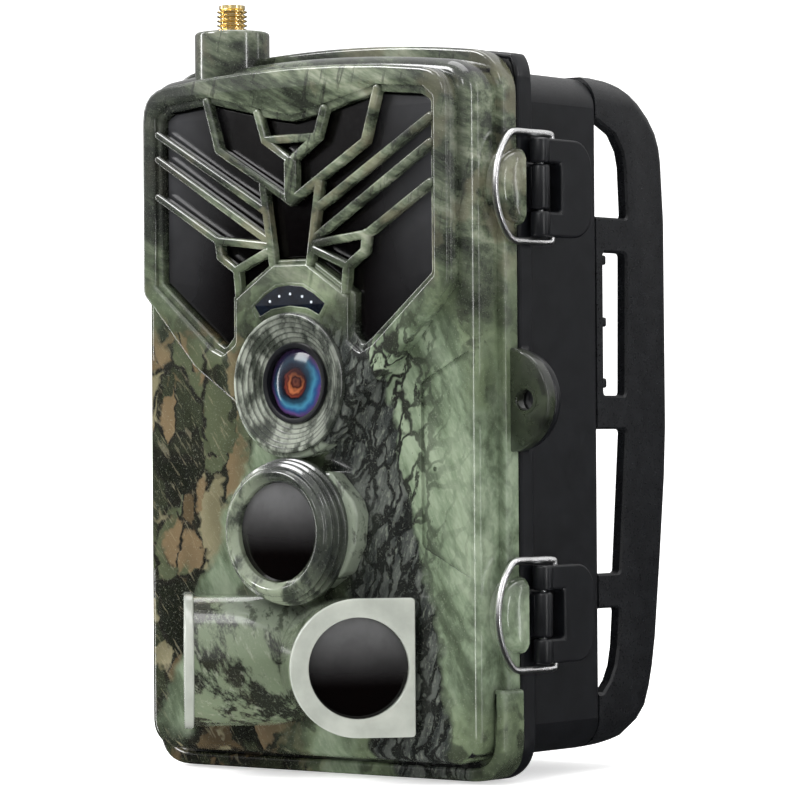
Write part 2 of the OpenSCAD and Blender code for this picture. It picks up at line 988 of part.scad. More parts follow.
module end_contacts(z_low, z_high) {
  for (i = [0:len(cell_x) - 1]) {
    box(cell_x[i] - 5, cell_x[i] + 5, 9, 16, z_low, z_low + contact_t);
    box(cell_x[i] - 5, cell_x[i] + 5, 9, 16, z_high - contact_t, z_high);
    if (i % 2 == 0)
      rod_z(cell_x[i], cell_y, z_low + contact_t - eps, z_low + 2.85, spring_r);
    else
      rod_z(cell_x[i], cell_y, z_high - 2.4, z_high - contact_t + eps, spring_r);
  }
}

module battery_contacts() {
  color(steel)
    placed() {
      end_contacts(16.62, 73.18);
      end_contacts(74.82, 131.38);
    }
}

module tray_screws() {
  color(steel)
    placed()
      for (s = [-1, 1], p = tray_tabs) {
        rod_y(s * p[0], p[1], floor_y - 0.1, floor_y + 6.5, screw_r);
        rod_y(s * p[0], p[1], floor_y - 1.5, floor_y, 2);
      }
}

module tripod_insert() {
  color([0.80, 0.64, 0.35])
    placed()
      difference() {
        rod_z(0, thread_y, rear_z0, rear_z0 + insert_h, insert_r);
        rod_z(0, thread_y, rear_z0 - 1, rear_z0 + insert_h - 1, thread_r);
      }
}

module dc_jack() {
  color(gloss)
    placed()
      difference() {
        box(port_x - 6.5, port_x + 6.5, port_y - 3.9, port_y + 4.1, rear_z0 + wall, rear_z0 + wall + 8);
        difference() {
          rod_z(port_x, port_y, rear_z0, rear_z0 + 8.5, 2.6);
          rod_z(port_x, port_y, rear_z0 + wall + 0.5, rear_z0 + 10, 0.8);
        }
      }
}

module port_flap() {
  color([0.10, 0.10, 0.10])
    placed() {
      box(port_x - 7.5, port_x + 7.5, 7.3, 17.9, 2.7, 4.1);
      port_hole(0.3, 4, 6);
      box(port_x - 5.1, port_x + 5.1, 17.8, flap_axis[0], 2.7, 4.1);
      rod_x(flap_axis[0], flap_axis[1], port_x - 5.1, port_x + 5.1, 1);
      rod_x(flap_axis[0], flap_axis[1], port_x - 7.2, port_x + 7.2, 0.6);
    }
}

module hinge_pins() {
  color(steel)
    placed()
      for (z = knuckle_z[0])
        rod_z(hinge_x, 0, z, z + 24.6, hinge_pin_r);
}

// ---- latches ----

module latch_pins() {
  color(steel)
    placed()
      for (z = [latch_hi, latch_lo])
        rod_z(pivot[0], pivot[1], z - lever_half + 0.4, z + lever_half - 0.4, latch_pin_r);
}

lever_in = 45.6;
lever_out = 48.6;
lever_tip = [20.6, 5.8];
slot_y = 9.8;
slot_half = 4.9;

module lever(z) {
  color(black)
    placed()
      difference() {
        union() {
          intersection() {
            slab_x(lever_in, lever_out)
              translate([0, z])
                rounded(2 * lever_tip[0], -lever_half, lever_half, lever_tip[1]);
            box(40, 60, pivot[1], 30, z - lever_half, z + lever_half);
          }
          rod_z(pivot[0], pivot[1], z - lever_half, z + lever_half, knuckle_r);
        }
        box(40, 60, pivot[1] - 4, slot_y, z - slot_half, z + slot_half);
        rod_z(pivot[0], pivot[1], z - 20, z + 20, latch_pin_r + run_gap);
        for (s = [-1, 1])
          rod_z(bail_pivot[0], bail_pivot[1], z + s * 9 - 2, z + s * 9 + 2, wire_r + run_gap);
      }
}

module lever_upper() { lever(latch_hi); }
module lever_lower() { lever(latch_lo); }

// Centre line of a latch wire, [x, y, height from the latch centre].
bend_extra = 0.05;
bail_path = [[47, 8.5, 7.4], [47, 8.5, 10.9], [46, -4, 10.9], [45.75, -7.4, 6.4], [45.6, -8.6, 0]];

module wire(a, b) {
  d = b - a;
  translate(a)
    rotate([0, acos(d[2] / norm(d)), atan2(d[1], d[0])])
      cylinder(h = norm(d), r = wire_r);
}

function below(p) = [for (i = [len(p) - 2:-1:0]) [p[i][0], p[i][1], -p[i][2]]];

module bail(z) {
  path = concat(bail_path, below(bail_path));
  color(steel)
    placed()
      translate([0, 0, z]) {
        for (i = [1:len(path) - 1])
          wire(path[i - 1], path[i]);
        for (i = [1:len(path) - 2])
          translate(path[i])
            sphere(wire_r + bend_extra);
      }
}

module bail_upper() { bail(latch_hi); }
module bail_lower() { bail(latch_lo); }

// ---- rear bracket ----

// Side profile of the bracket and of its hollow, [y, z].
bracket_side = [[31, 143.9], [34.5, 143.9], [38.1, 143.5], [41.9, 142.6], [45.1, 141.5], [48.1, 139.9],
  [51.8, 137], [54.5, 133.9], [56, 130.7], [56.7, 127.4], [57.7, 114.7], [57.9, 71],
  [57.3, 60.5], [55.5, 43.6], [53.5, 26.7], [52.3, 20.5], [51, 16], [49.2, 11.9],
  [46, 8.9], [40.5, 6.2], [34.5, 5], [31, 4.6]];
bracket_hollow = [[30, 139.9], [36, 139.6], [42, 137.9], [44.5, 136.4], [60, 136.4], [60, 13.6],
  [44.3, 13.6], [43.5, 12.8], [39, 10.2], [34, 8.9], [30, 8.5]];
strap_windows = [[[30, 134.9], [31.6, 134.9], [38.1, 132.1], [40.8, 128.7], [41.7, 125.6], [42.4, 114.7],
    [30, 114.7]],
  [[33.6, 107.4], [41.8, 107.4], [41.4, 77.6], [33.6, 77.6]],
  [[30, 70.6], [41.5, 70.6], [38.9, 40.6], [30, 40.6]],
  [[30, 33.4], [38.8, 33.4], [38, 25.4], [37, 21.3], [35.2, 18.3], [32.5, 15.8], [30, 15.8]]];
webs = [[107.4, 114.7], [70.6, 77.6], [33.4, 40.6]];
web_t = 3;
web_back = 46;
web_arc = 83.8;
ridge_h = 1.9;

module bracket_web(z0, z1) {
  mid = (z0 + z1) / 2;
  slab_z(mid - web_t / 2, mid + web_t / 2)
    difference() {
      translate([-rear_w / 2 + 1, rear_d])
        square([rear_w - 2, web_back - rear_d]);
      translate([0, web_back - 10 + web_arc])
        circle(web_arc, $fn = 200);
    }
}

module tree_bracket() {
  color(black)
    placed()
      difference() {
        union() {
          difference() {
            intersection() {
              slab_x(-rear_w / 2, rear_w / 2)
                polygon(bracket_side);
              slab_y(rear_d, 60)
                rounded(rear_w, rear_z0, 144.4, rear_r);
            }
            slab_x(-rear_w / 2 + bracket_t, rear_w / 2 - bracket_t)
              polygon(bracket_hollow);
            for (w = strap_windows)
              slab_x(-50, 50)
                polygon(w);
          }
          for (w = webs)
            bracket_web(w[0], w[1]);
          box(-rear_w / 2, rear_w / 2, rear_d, rear_d + plate_t, webs[1][1] - 4, webs[0][0] + 4);
          for (z = [79.3, 92, 104.9])
            box(-rear_w / 2 + 0.6, rear_w / 2 - 0.6, rear_d + 1, rear_d + plate_t + ridge_h, z, z + 1.8);
        }
        for (s = [-1, 1], p = bracket_screws_at) {
          rod_y(s * p[0], p[1], rear_d - 1, rear_d + 5, 1.6);
          rod_y(s * p[0], p[1], rear_d + plate_t - 1, rear_d + plate_t + 2, 3.2);
        }
      }
}

module bracket_screws() {
  color(steel)
    placed()
      for (s = [-1, 1], p = bracket_screws_at) {
        rod_y(s * p[0], p[1], rear_d - 5, rear_d + plate_t - 0.9, 1.5);
        rod_y(s * p[0], p[1], rear_d + plate_t - 1, rear_d + plate_t + 0.6, 3);
      }
}

front_shell();
ir_frame();
ir_filter();
ir_led_board();
ir_leds();
status_window();
status_leds();
lens_ring();
lens_barrel();
lens_front();
lens_iris();
lens_rear();
image_sensor();
pir_barrel();
centre_window();
side_pod_right();
side_pod_left();
side_bezel_right();
side_bezel_left();
side_window_right();
side_window_left();
pir_detectors();
pir_boards();
main_board();
inner_cover();
lcd_screen();
lcd_window();
button_menu();
button_ok();
button_up();
button_down();
button_left();
button_right();
button_domes();
mode_switch_knob();
mode_switch_body();
card_slot();
sim_holder();
speaker();
microphone();
sma_jack();
sma_nut();
cover_screws();
rear_case();
case_gasket();
battery_tray();
batteries();
battery_contacts();
tray_screws();
tripod_insert();
dc_jack();
port_flap();
hinge_pins();
latch_pins();
lever_upper();
lever_lower();
bail_upper();
bail_lower();
tree_bracket();
bracket_screws();
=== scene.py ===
"""Trail camera: looks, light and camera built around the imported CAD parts."""
import json
import math

import bmesh
import bpy
from mathutils import Matrix, Vector


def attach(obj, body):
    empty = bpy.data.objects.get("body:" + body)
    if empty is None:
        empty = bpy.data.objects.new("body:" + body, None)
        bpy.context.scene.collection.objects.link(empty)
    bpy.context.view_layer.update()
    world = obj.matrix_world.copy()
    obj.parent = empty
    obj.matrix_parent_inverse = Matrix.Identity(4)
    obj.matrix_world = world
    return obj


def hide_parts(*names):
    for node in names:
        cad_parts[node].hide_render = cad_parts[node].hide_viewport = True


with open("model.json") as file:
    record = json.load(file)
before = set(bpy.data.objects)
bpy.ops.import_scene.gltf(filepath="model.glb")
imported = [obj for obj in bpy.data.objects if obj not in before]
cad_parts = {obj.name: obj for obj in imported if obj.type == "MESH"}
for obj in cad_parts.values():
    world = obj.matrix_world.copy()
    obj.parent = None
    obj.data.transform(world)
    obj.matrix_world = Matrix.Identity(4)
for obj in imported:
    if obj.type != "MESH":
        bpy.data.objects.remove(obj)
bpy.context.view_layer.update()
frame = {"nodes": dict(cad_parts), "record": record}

# The row's origin, in the case frame: X from the middle, Y from the parting face, Z from the foot.
ORIGIN = (0.0, 17.0, 4.4)
MM = 0.001

# Heights of the lens and of the centre sensor over the foot, and the radius of the front glass.
LENS_Z, SENSOR_Z, GLASS_R = 80.4, 50.1, 7.1


def at(x, y, z):
    """A point of the case frame, in millimetres, as metres in the row frame."""
    return Vector(((x - ORIGIN[0]) * MM, (y - ORIGIN[1]) * MM, (z - ORIGIN[2]) * MM))


# ---- shader helpers

class Shader:
    """Builds one node material with short calls."""

    def __init__(self, name):
        self.mat = bpy.data.materials.new(name)
        self.mat.use_nodes = True
        self.tree = self.mat.node_tree
        self.tree.nodes.clear()
        self.out = self.tree.nodes.new("ShaderNodeOutputMaterial")
        self.bsdf = self.tree.nodes.new("ShaderNodeBsdfPrincipled")
        self.tree.links.new(self.bsdf.outputs[0], self.out.inputs[0])

    def put(self, socket, value):
        if value is None:
            return
        if isinstance(value, bpy.types.NodeSocket):
            self.tree.links.new(value, socket)
        elif hasattr(socket.default_value, "__len__"):
            n = len(socket.default_value)
            if isinstance(value, (int, float)):
                value = (value,) * 3
            value = tuple(value)
            socket.default_value = value + (1.0,) * (n - len(value))
        else:
            socket.default_value = value

    def node(self, kind, props=None, **inputs):
        n = self.tree.nodes.new(kind)
        for k, v in (props or {}).items():
            setattr(n, k, v)
        for k, v in inputs.items():
            self.put(n.inputs[k.replace("_", " ")], v)
        return n

    def math(self, op, a, b=None, c=None):
        n = self.tree.nodes.new("ShaderNodeMath")
        n.operation = op
        for s, v in zip(n.inputs, (a, b, c)):
            self.put(s, v)
        return n.outputs[0]

    def times(self, a, b):
        return self.math("MULTIPLY", a, b)

    def vmath(self, op, a, b=None, out=0):
        n = self.tree.nodes.new("ShaderNodeVectorMath")
        n.operation = op
        self.put(n.inputs[0], a)
        self.put(n.inputs[1], b)
        return n.outputs[out]

    def enlarge(self, vec, factor):
        """A vector times a number."""
        n = self.node("ShaderNodeVectorMath", {"operation": "SCALE"}, Scale=factor)
        self.put(n.inputs[0], vec)
        return n.outputs[0]

    def from_axis(self, p, height):
        """The vector in the X-Z plane from the point at that height on the middle line."""
        return self.vmath("MULTIPLY", self.vmath("SUBTRACT", p, (0, 0, height)), (1, 0, 1))

    def length(self, vec):
        return self.vmath("LENGTH", vec, out=1)

    def dot(self, vec, direction):
        return self.vmath("DOT_PRODUCT", vec, direction, out=1)

    def axes(self, vec):
        """The three parts of a vector."""
        return self.node("ShaderNodeSeparateXYZ", Vector=vec).outputs

    def blend(self, mode, fac, a, b):
        n = self.tree.nodes.new("ShaderNodeMix")
        n.data_type = "RGBA"
        n.blend_type = mode
        self.put(n.inputs[0], fac)
        self.put(n.inputs[6], a)
        self.put(n.inputs[7], b)
        return n.outputs[2]

    def mix(self, fac, a, b):
        return self.blend("MIX", fac, a, b)

    def remap(self, value, lo, hi, to_lo=0.0, to_hi=1.0):
        """Smooth step from to_lo at lo to to_hi at hi."""
        n = self.tree.nodes.new("ShaderNodeMapRange")
        n.interpolation_type = "SMOOTHSTEP"
        for i, v in enumerate((value, lo, hi, to_lo, to_hi)):
            self.put(n.inputs[i], v)
        return n.outputs[0]

    def ramp(self, value, stops, stepped=False):
        n = self.tree.nodes.new("ShaderNodeValToRGB")
        self.put(n.inputs[0], value)
        if stepped:
            n.color_ramp.interpolation = "CONSTANT"
        els = n.color_ramp.elements
        while len(els) < len(stops):
            els.new(0.5)
        for e, (p, c) in zip(els, stops):
            e.position = p
            e.color = tuple(c) + (1.0,)
        return n.outputs[0]

    def place(self):
        """Object coordinates in millimetres of the case frame."""
        tc = self.node("ShaderNodeTexCoord").outputs["Object"]
        return self.vmath("ADD", self.enlarge(tc, 1 / MM), ORIGIN)

    def scaled(self, vec, scale, rot=(0, 0, 0), shift=(0, 0, 0)):
        n = self.tree.nodes.new("ShaderNodeMapping")
        self.put(n.inputs["Vector"], vec)
        n.inputs["Scale"].default_value = scale
        n.inputs["Rotation"].default_value = rot
        n.inputs["Location"].default_value = shift
        return n.outputs[0]

    def noise(self, vec, scale, detail=4.0, rough=0.55, colour=False):
        n = self.node("ShaderNodeTexNoise", Vector=vec, Scale=scale, Detail=detail, Roughness=rough)
        return n.outputs["Color" if colour else "Fac"]

    def voronoi(self, vec, scale, feature="F1", random=1.0):
        n = self.node("ShaderNodeTexVoronoi", {"feature": feature}, Vector=vec, Scale=scale,
                      Randomness=random)
        return n.outputs["Distance"]

    def surface(self, **inputs):
        for k, v in inputs.items():
            self.put(self.bsdf.inputs[k.replace("_", " ")], v)

    def coat(self, weight, roughness):
        self.surface(Coat_Weight=weight, Coat_Roughness=roughness)

    def bump(self, height, strength, distance=0.0001):
        n = self.node("ShaderNodeBump", Height=height, Strength=strength, Distance=distance)
        self.put(self.bsdf.inputs["Normal"], n.outputs[0])


def grain(s, scale, lo, hi, detail=5):
    """Fine variation between lo and hi."""
    return s.remap(s.noise(s.place(), scale, detail), 0.3, 0.7, lo, hi)


def make_camo(name, tint=(1, 1, 1), roughness=(0.16, 0.26)):
    """Printed woodland film: leaves at the left, pale limbs, a dark trunk, weathered top."""
    s = Shader(name)
    p = s.place()
    wob = s.vmath("SUBTRACT", s.noise(p, 0.07, 4, 0.6, colour=True), (0.5, 0.5, 0.5))
    q = s.vmath("ADD", p, s.enlarge(wob, 13.0))
    x, _, z = s.axes(q)
    px, py, pz = s.axes(p)

    def band(x0, z0, x1, z1, width, soft=2.5):
        """1 near the line from (x0, z0) to (x1, z1), falling to 0 outside its half width."""
        n = math.hypot(x1 - x0, z1 - z0)
        a, b = (z1 - z0) / n, -(x1 - x0) / n
        d = s.math("ADD", s.times(x, a), s.math("MULTIPLY_ADD", z, b, -(a * x0 + b * z0)))
        return s.remap(s.math("ABSOLUTE", d), width + soft, width - soft)

    def along(x0, z0, x1, z1, lo, hi, soft=6.0):
        """1 between two distances along the line, measured from (x0, z0)."""
        n = math.hypot(x1 - x0, z1 - z0)
        a, b = (x1 - x0) / n, (z1 - z0) / n
        t = s.math("ADD", s.times(x, a), s.math("MULTIPLY_ADD", z, b, -(a * x0 + b * z0)))
        return s.times(s.remap(t, lo - soft, lo + soft), s.remap(t, hi + soft, hi - soft))

    def limb(x0, z0, x1, z1, width, soft=1.4):
        run = math.hypot(x1 - x0, z1 - z0)
        return s.times(band(x0, z0, x1, z1, width, soft), along(x0, z0, x1, z1, 0, run))

    def slanted(vec, angle, thin):
        """Space stretched along a line that leans by an angle from the upright, in the X-Z plane."""
        return s.scaled(s.scaled(vec, (1, 1, 1), (0, angle, 0)), (1.0, 0.6, thin))

    def streaks(angle, thin, scale, lo, hi, detail=7):
        """Broken strokes that lean by an angle."""
        return s.remap(s.noise(slanted(p, angle, thin), scale, detail, 0.68), lo, hi)

    def patch(scale, lo, hi, detail=3):
        return s.remap(s.noise(q, scale, detail, 0.55), lo, hi)

    # ground: blurred olive with deep shadow
    ground = s.ramp(s.noise(q, 0.050, 4, 0.58), [
        (0.36, (0.012, 0.016, 0.010)), (0.46, (0.045, 0.058, 0.034)),
        (0.56, (0.105, 0.135, 0.078)), (0.70, (0.200, 0.250, 0.150))])
    ground = s.mix(s.times(patch(0.13, 0.52, 0.62), 0.7), ground, (0.018, 0.021, 0.014))

    # leaves: two layers of cells with dark rims
    def leaf_layer(angle, scale, seed):
        v = s.scaled(q, (1.0, 0.35, 0.50), (0, angle, 0), (seed, 0, seed))
        cell = s.node("ShaderNodeTexVoronoi", {"feature": "F1"}, Vector=v, Scale=scale)
        tone = s.node("ShaderNodeSeparateColor", Color=cell.outputs["Color"]).outputs[0]
        leaf = s.ramp(tone, [
            (0.00, (0.010, 0.012, 0.007)), (0.16, (0.080, 0.058, 0.030)),
            (0.30, (0.026, 0.031, 0.017)), (0.45, (0.066, 0.078, 0.042)),
            (0.58, (0.150, 0.108, 0.058)), (0.70, (0.018, 0.020, 0.012)),
            (0.84, (0.185, 0.168, 0.100))], stepped=True)
        shade = s.remap(cell.outputs["Distance"], 0.75, 0.05)
        shaded = s.blend("MULTIPLY", 1.0, leaf, (0.35, 0.35, 0.30))
        leaf = s.mix(s.times(shade, 0.55), leaf, shaded)
        rim = s.remap(s.voronoi(v, scale, "DISTANCE_TO_EDGE"), 0.085, 0.01)
        return s.mix(rim, leaf, (0.010, 0.010, 0.007))

    large, small = leaf_layer(0.65, 0.105, 0.0), leaf_layer(-0.5, 0.15, 9.0)
    leaves = s.mix(patch(0.09, 0.47, 0.53), large, small)
    leaves = s.mix(s.times(streaks(0.65, 0.15, 1.1, 0.56, 0.66, 4), 0.28), leaves, (0.30, 0.27, 0.18))
    left = s.times(s.remap(px, -4.0, -22.0), s.remap(pz, 98.0, 84.0))
    foot_leaves = s.times(s.remap(pz, 34.0, 12.0), s.remap(px, 6.0, -14.0))
    colour = s.mix(s.math("MAXIMUM", left, foot_leaves), ground, leaves)

    def network(angle, thin, scale, width):
        """Dark crack lines between long plates."""
        edge = s.voronoi(slanted(q, angle, thin), scale, "DISTANCE_TO_EDGE")
        return s.remap(edge, width, width * 0.35)

    # pale limbs, down to the left and down to the right
    pale = s.ramp(streaks(0.5, 0.3, 0.16, 0.30, 0.72, 4), [
        (0.00, (0.058, 0.078, 0.046)), (0.45, (0.150, 0.195, 0.126)),
        (1.00, (0.265, 0.320, 0.225))])
    cracks = s.times(network(-0.32, 0.45, 0.26, 0.13), s.remap(px, 39.0, 25.0, 0.18, 1.0))
    nicks = s.times(streaks(-0.32, 0.28, 0.50, 0.57, 0.61), s.remap(px, 40.0, 27.0))
    cracks = s.math("MAXIMUM", cracks, nicks)
    cracked = s.mix(cracks, pale, (0.014, 0.016, 0.012))
    right_pale = s.times(limb(27, 92, 48, 18, 11.5, 2.5), s.remap(px, 8.0, 20.0))
    colour = s.mix(right_pale, colour, cracked)
    colour = s.mix(s.times(limb(0, 84, -36, 8, 5.0), 0.95), colour, pale)
    colour = s.mix(s.times(limb(20, 30, 2, -6, 5.0), 0.8), colour, pale)

    # trunk: dark bark with black cracks and broken gray flakes
    plates = streaks(-0.30, 0.22, 0.30, 0.42, 0.60)
    bark = s.mix(plates, (0.026, 0.030, 0.028), (0.084, 0.092, 0.082))
    bark = s.mix(s.times(streaks(-0.30, 0.35, 1.3, 0.54, 0.64), 0.6), bark, (0.190, 0.210, 0.170))
    bark = s.mix(s.times(network(-0.30, 0.30, 0.34, 0.16), 0.9), bark, (0.006, 0.007, 0.006))
    colour = s.mix(limb(10, 92, 31, -4, 9.5, 1.2), colour, bark)

    # curved bark on the side pods
    pods = s.times(s.remap(py, -14.1, -14.9), s.remap(pz, 41.0, 38.0))
    rolled = streaks(0.42, 0.30, 0.20, 0.45, 0.54, 6)
    rolled = s.mix(rolled, (0.165, 0.205, 0.130), (0.020, 0.023, 0.016))
    rolled = s.mix(s.times(streaks(0.42, 0.25, 0.9, 0.55, 0.66), 0.6), rolled, (0.30, 0.33, 0.25))
    colour = s.mix(s.times(pods, 0.92), colour, rolled)

    # the boss behind the centre sensor is painted paler: printed streaks, lightened as painted light for
    # the light its walls catch
    out = s.length(s.from_axis(p, SENSOR_Z))
    boss_zone = s.times(s.remap(py, -13.9, -14.3), s.remap(out, 20.6, 19.4))
    boss_print_and_light = streaks(0.35, 0.3, 0.5, 0.50, 0.60)
    boss_print_and_light = s.mix(boss_print_and_light, (0.215, 0.250, 0.190), (0.070, 0.080, 0.062))
    colour = s.mix(s.times(boss_zone, 0.85), colour, boss_print_and_light)

    # weathered top: long slanting strokes and dark corners
    high = s.remap(pz, 92.0, 112.0)
    weather = s.ramp(streaks(1.15, 0.22, 0.14, 0.30, 0.74, 5), [
        (0.10, (0.014, 0.017, 0.012)), (0.36, (0.046, 0.058, 0.037)),
        (0.62, (0.125, 0.150, 0.098)), (0.90, (0.250, 0.270, 0.200))])
    scratches = s.times(streaks(-0.25, 0.12, 0.34, 0.55, 0.64), 0.75)
    weather = s.mix(scratches, weather, (0.014, 0.016, 0.012))
    weather = s.mix(s.times(patch(0.06, 0.52, 0.60), 0.6), weather, (0.150, 0.142, 0.090))
    dark = s.math("MAXIMUM", s.remap(px, -12.0, -34.0), s.remap(px, 22.0, 34.0, 0.0, 0.55))
    dark = s.times(s.times(dark, s.remap(pz, 98.0, 122.0)), s.remap(px, 43.5, 41.0))
    weather = s.mix(s.times(dark, 0.85), weather, (0.016, 0.018, 0.016))
    colour = s.mix(high, colour, weather)

    # the film is on the outside only: the moulding is black inside
    inside = s.times(s.remap(s.math("ABSOLUTE", px), 42.0, 41.6), s.remap(py, -12.4, -12.2))
    inside = s.times(inside, s.times(s.remap(pz, 5.2, 5.6), s.remap(pz, 143.2, 142.8)))

    # fine flecks
    speck = s.remap(s.noise(p, 3.0, 3), 0.60, 0.70)
    colour = s.mix(s.times(speck, 0.22), colour, (0.36, 0.38, 0.31))
    colour = s.mix(inside, s.blend("MULTIPLY", 1.0, colour, tint), (0.007, 0.007, 0.008))
    s.surface(Base_Color=colour, Roughness=grain(s, 0.5, *roughness, detail=4))
    s.coat(0.8, 0.06)
    s.bump(s.noise(p, 1.1, 3), 0.08, 0.00003)
    return s.mat


def make_plain(name, dark, light, rough, scale=0.8, metallic=0.0, bump=0.1, coat=0.0, fine=6.0):
    """One colour that drifts between dark and light, with a fine grain."""
    s = Shader(name)
    colour = s.mix(grain(s, scale, 0.0, 1.0), dark, light)
    s.surface(Base_Color=colour, Metallic=metallic, Roughness=grain(s, fine, *rough, detail=4))
    if coat:
        s.coat(coat, 0.04)
    s.bump(s.noise(s.place(), fine, 4), bump, 0.00003)
    return s.mat


def make_filter(name):
    """Smoked flash window: nearly black in the middle, with a painted reflection that makes it paler
    towards the outer edges and the top.
    """
    s = Shader(name)
    p = s.place()
    x, _, z = s.axes(p)
    # Painted reflection: paler towards the outer edges and the top, broken up by a fine grain.
    edge = s.times(s.remap(s.math("ABSOLUTE", x), 15.0, 37.0), s.remap(z, 92.0, 132.0, 0.35, 1.0))
    painted_reflection = s.times(edge, grain(s, 0.12, 0.75, 1.0, detail=3))
    colour = s.mix(painted_reflection, (0.0010, 0.0006, 0.0007), (0.046, 0.047, 0.050))
    s.surface(Base_Color=colour, Roughness=grain(s, 1.0, 0.14, 0.22, detail=3))
    s.surface(Specular_IOR_Level=0.35)
    s.bump(s.noise(p, 1.5, 3), 0.02, 0.00002)
    return s.mat


def make_dome(name):
    """Sensor window: smoked film, with a painted reflection that makes it lighter towards its top."""
    s = Shader(name)
    p = s.place()
    z = s.axes(p)[2]
    # Painted reflection: the middle window and the pod windows are lighter towards their tops.
    centre = s.remap(z, 45.0, 61.0)
    pod = s.times(s.remap(z, 19.0, 34.5), s.remap(z, 39.0, 37.0))
    painted_reflection = s.times(s.math("MAXIMUM", centre, pod), grain(s, 0.2, 0.8, 1.0, detail=3))
    s.surface(Base_Color=s.mix(painted_reflection, (0.0010, 0.0005, 0.0005), (0.105, 0.105, 0.106)))
    s.surface(Roughness=grain(s, 1.5, 0.06, 0.11, detail=4), Specular_IOR_Level=0.25)
    s.coat(0.35, 0.04)
    s.bump(s.noise(p, 1.5, 4), 0.02, 0.00003)
    return s.mat


def make_rings(name, centre, light, side_shade, step_shade):
    """Printed film on the turned rings: broken strokes, with painted shade darkening the upper right and
    the steps.
    """
    s = Shader(name)
    p = s.place()
    v = s.scaled(p, (1.0, 0.4, 0.45), (0, 0.5, 0))
    strokes = s.remap(s.noise(v, 0.30, 6, 0.62), 0.40, 0.60)
    colour = s.mix(strokes, (0.040, 0.047, 0.036), light)
    flat = s.from_axis(p, centre)
    # Painted shade: the upper right of the rings is darkened.
    away = s.dot(flat, (0.85, 0.0, 0.53))
    colour = s.mix(s.remap(away, -5.0, 7.0, 0.0, side_shade), colour, (0.016, 0.019, 0.017))
    speck = s.remap(s.noise(p, 3.0, 3), 0.60, 0.70, 0.0, 0.2)
    colour = s.mix(speck, colour, (0.36, 0.38, 0.31))
    # Painted shade: dark lines in the steps between the rings.
    step_part = s.math("FRACT", s.math("SUBTRACT", s.length(flat), 0.3))
    colour = s.mix(s.remap(step_part, 0.38, 0.06, 0.0, step_shade), colour, (0.020, 0.023, 0.019))
    s.surface(Base_Color=colour, Roughness=grain(s, 0.5, 0.16, 0.26))
    s.coat(0.8, 0.06)
    return s.mat


def make_board(name):
    """Green circuit board with tracks and gold pads."""
    s = Shader(name)
    p = s.place()
    track = s.voronoi(p, 0.45, "DISTANCE_TO_EDGE", 0.3)
    colour = s.mix(s.remap(track, 0.10, 0.04), (0.010, 0.095, 0.035), (0.030, 0.190, 0.075))
    pad = s.voronoi(p, 0.55, "F1", 0.8)
    colour = s.mix(s.remap(pad, 0.20, 0.16), colour, (0.62, 0.50, 0.24))
    s.surface(Base_Color=colour, Roughness=grain(s, 4.0, 0.28, 0.42))
    return s.mat


def make_lens(name):
    """Coated glass with painted reflections: amber arcs in the middle, teal and blue low on the right, a
    violet rim; it also has a faint painted glow.
    """
    s = Shader(name)
    p = s.place()
    flat = s.from_axis(p, LENS_Z)
    r = s.math("DIVIDE", s.length(flat), GLASS_R)
    stir = s.times(s.math("SUBTRACT", s.noise(p, 0.34, 2), 0.5), 0.85)
    off = s.math("DIVIDE", s.length(s.vmath("SUBTRACT", flat, (0.6, 0, 0.3))), GLASS_R)
    # Painted reflections: amber arcs round a point a little off the middle.
    arc_reflections = s.ramp(s.math("MULTIPLY_ADD", stir, 0.6, off), [
        (0.00, (0.040, 0.012, 0.010)), (0.08, (0.120, 0.038, 0.024)),
        (0.15, (0.022, 0.006, 0.005)), (0.24, (0.290, 0.090, 0.036)),
        (0.31, (0.060, 0.014, 0.010)), (0.38, (0.110, 0.022, 0.014)),
        (0.46, (0.008, 0.005, 0.007))])
    # Painted reflection: the arcs fade to near black towards the upper right.
    fade = s.remap(s.dot(flat, (-0.45, 0.0, -0.89)), -3.2, 2.0, 0.18, 1.0)
    arc_reflections = s.mix(fade, (0.007, 0.005, 0.007), arc_reflections)
    # Painted reflection in the coating's colours towards the rim.
    rim = s.ramp(s.math("MULTIPLY_ADD", stir, 0.3, r), [
        (0.42, (0.005, 0.005, 0.008)), (0.58, (0.012, 0.036, 0.060)),
        (0.72, (0.036, 0.150, 0.230)), (0.82, (0.016, 0.050, 0.140)),
        (0.92, (0.080, 0.036, 0.130)), (1.00, (0.006, 0.006, 0.010))])
    # The painted rim reflection is brightest low on the right.
    low = s.dot(flat, (0.60, 0.0, -0.80))
    rim = s.mix(s.remap(low, -5.0, 4.0, 0.12, 1.0), (0.008, 0.006, 0.012), rim)
    colour = s.mix(s.remap(r, 0.38, 0.50), arc_reflections, rim)
    s.surface(Base_Color=colour, Roughness=grain(s, 2.0, 0.10, 0.14, detail=2))
    s.coat(0.15, 0.12)
    s.surface(Specular_IOR_Level=0.28)
    # Painted glow: the glass glows faintly in its own colours, though it is no lamp.
    s.surface(Emission_Color=colour, Emission_Strength=0.24)
    return s.mat


def make_cells(name):
    """Battery jackets: dark below, copper-coloured at the top of each bank of cells."""
    s = Shader(name)
    z = s.axes(s.place())[2]
    bank = s.math("FRACT", s.math("DIVIDE", s.math("SUBTRACT", z, 19.5), 58.5))
    colour = s.mix(s.remap(bank, 0.60, 0.605), (0.03, 0.03, 0.035), (0.55, 0.32, 0.08))
    s.surface(Base_Color=colour, Metallic=0.35, Roughness=grain(s, 2.0, 0.22, 0.34))
    return s.mat


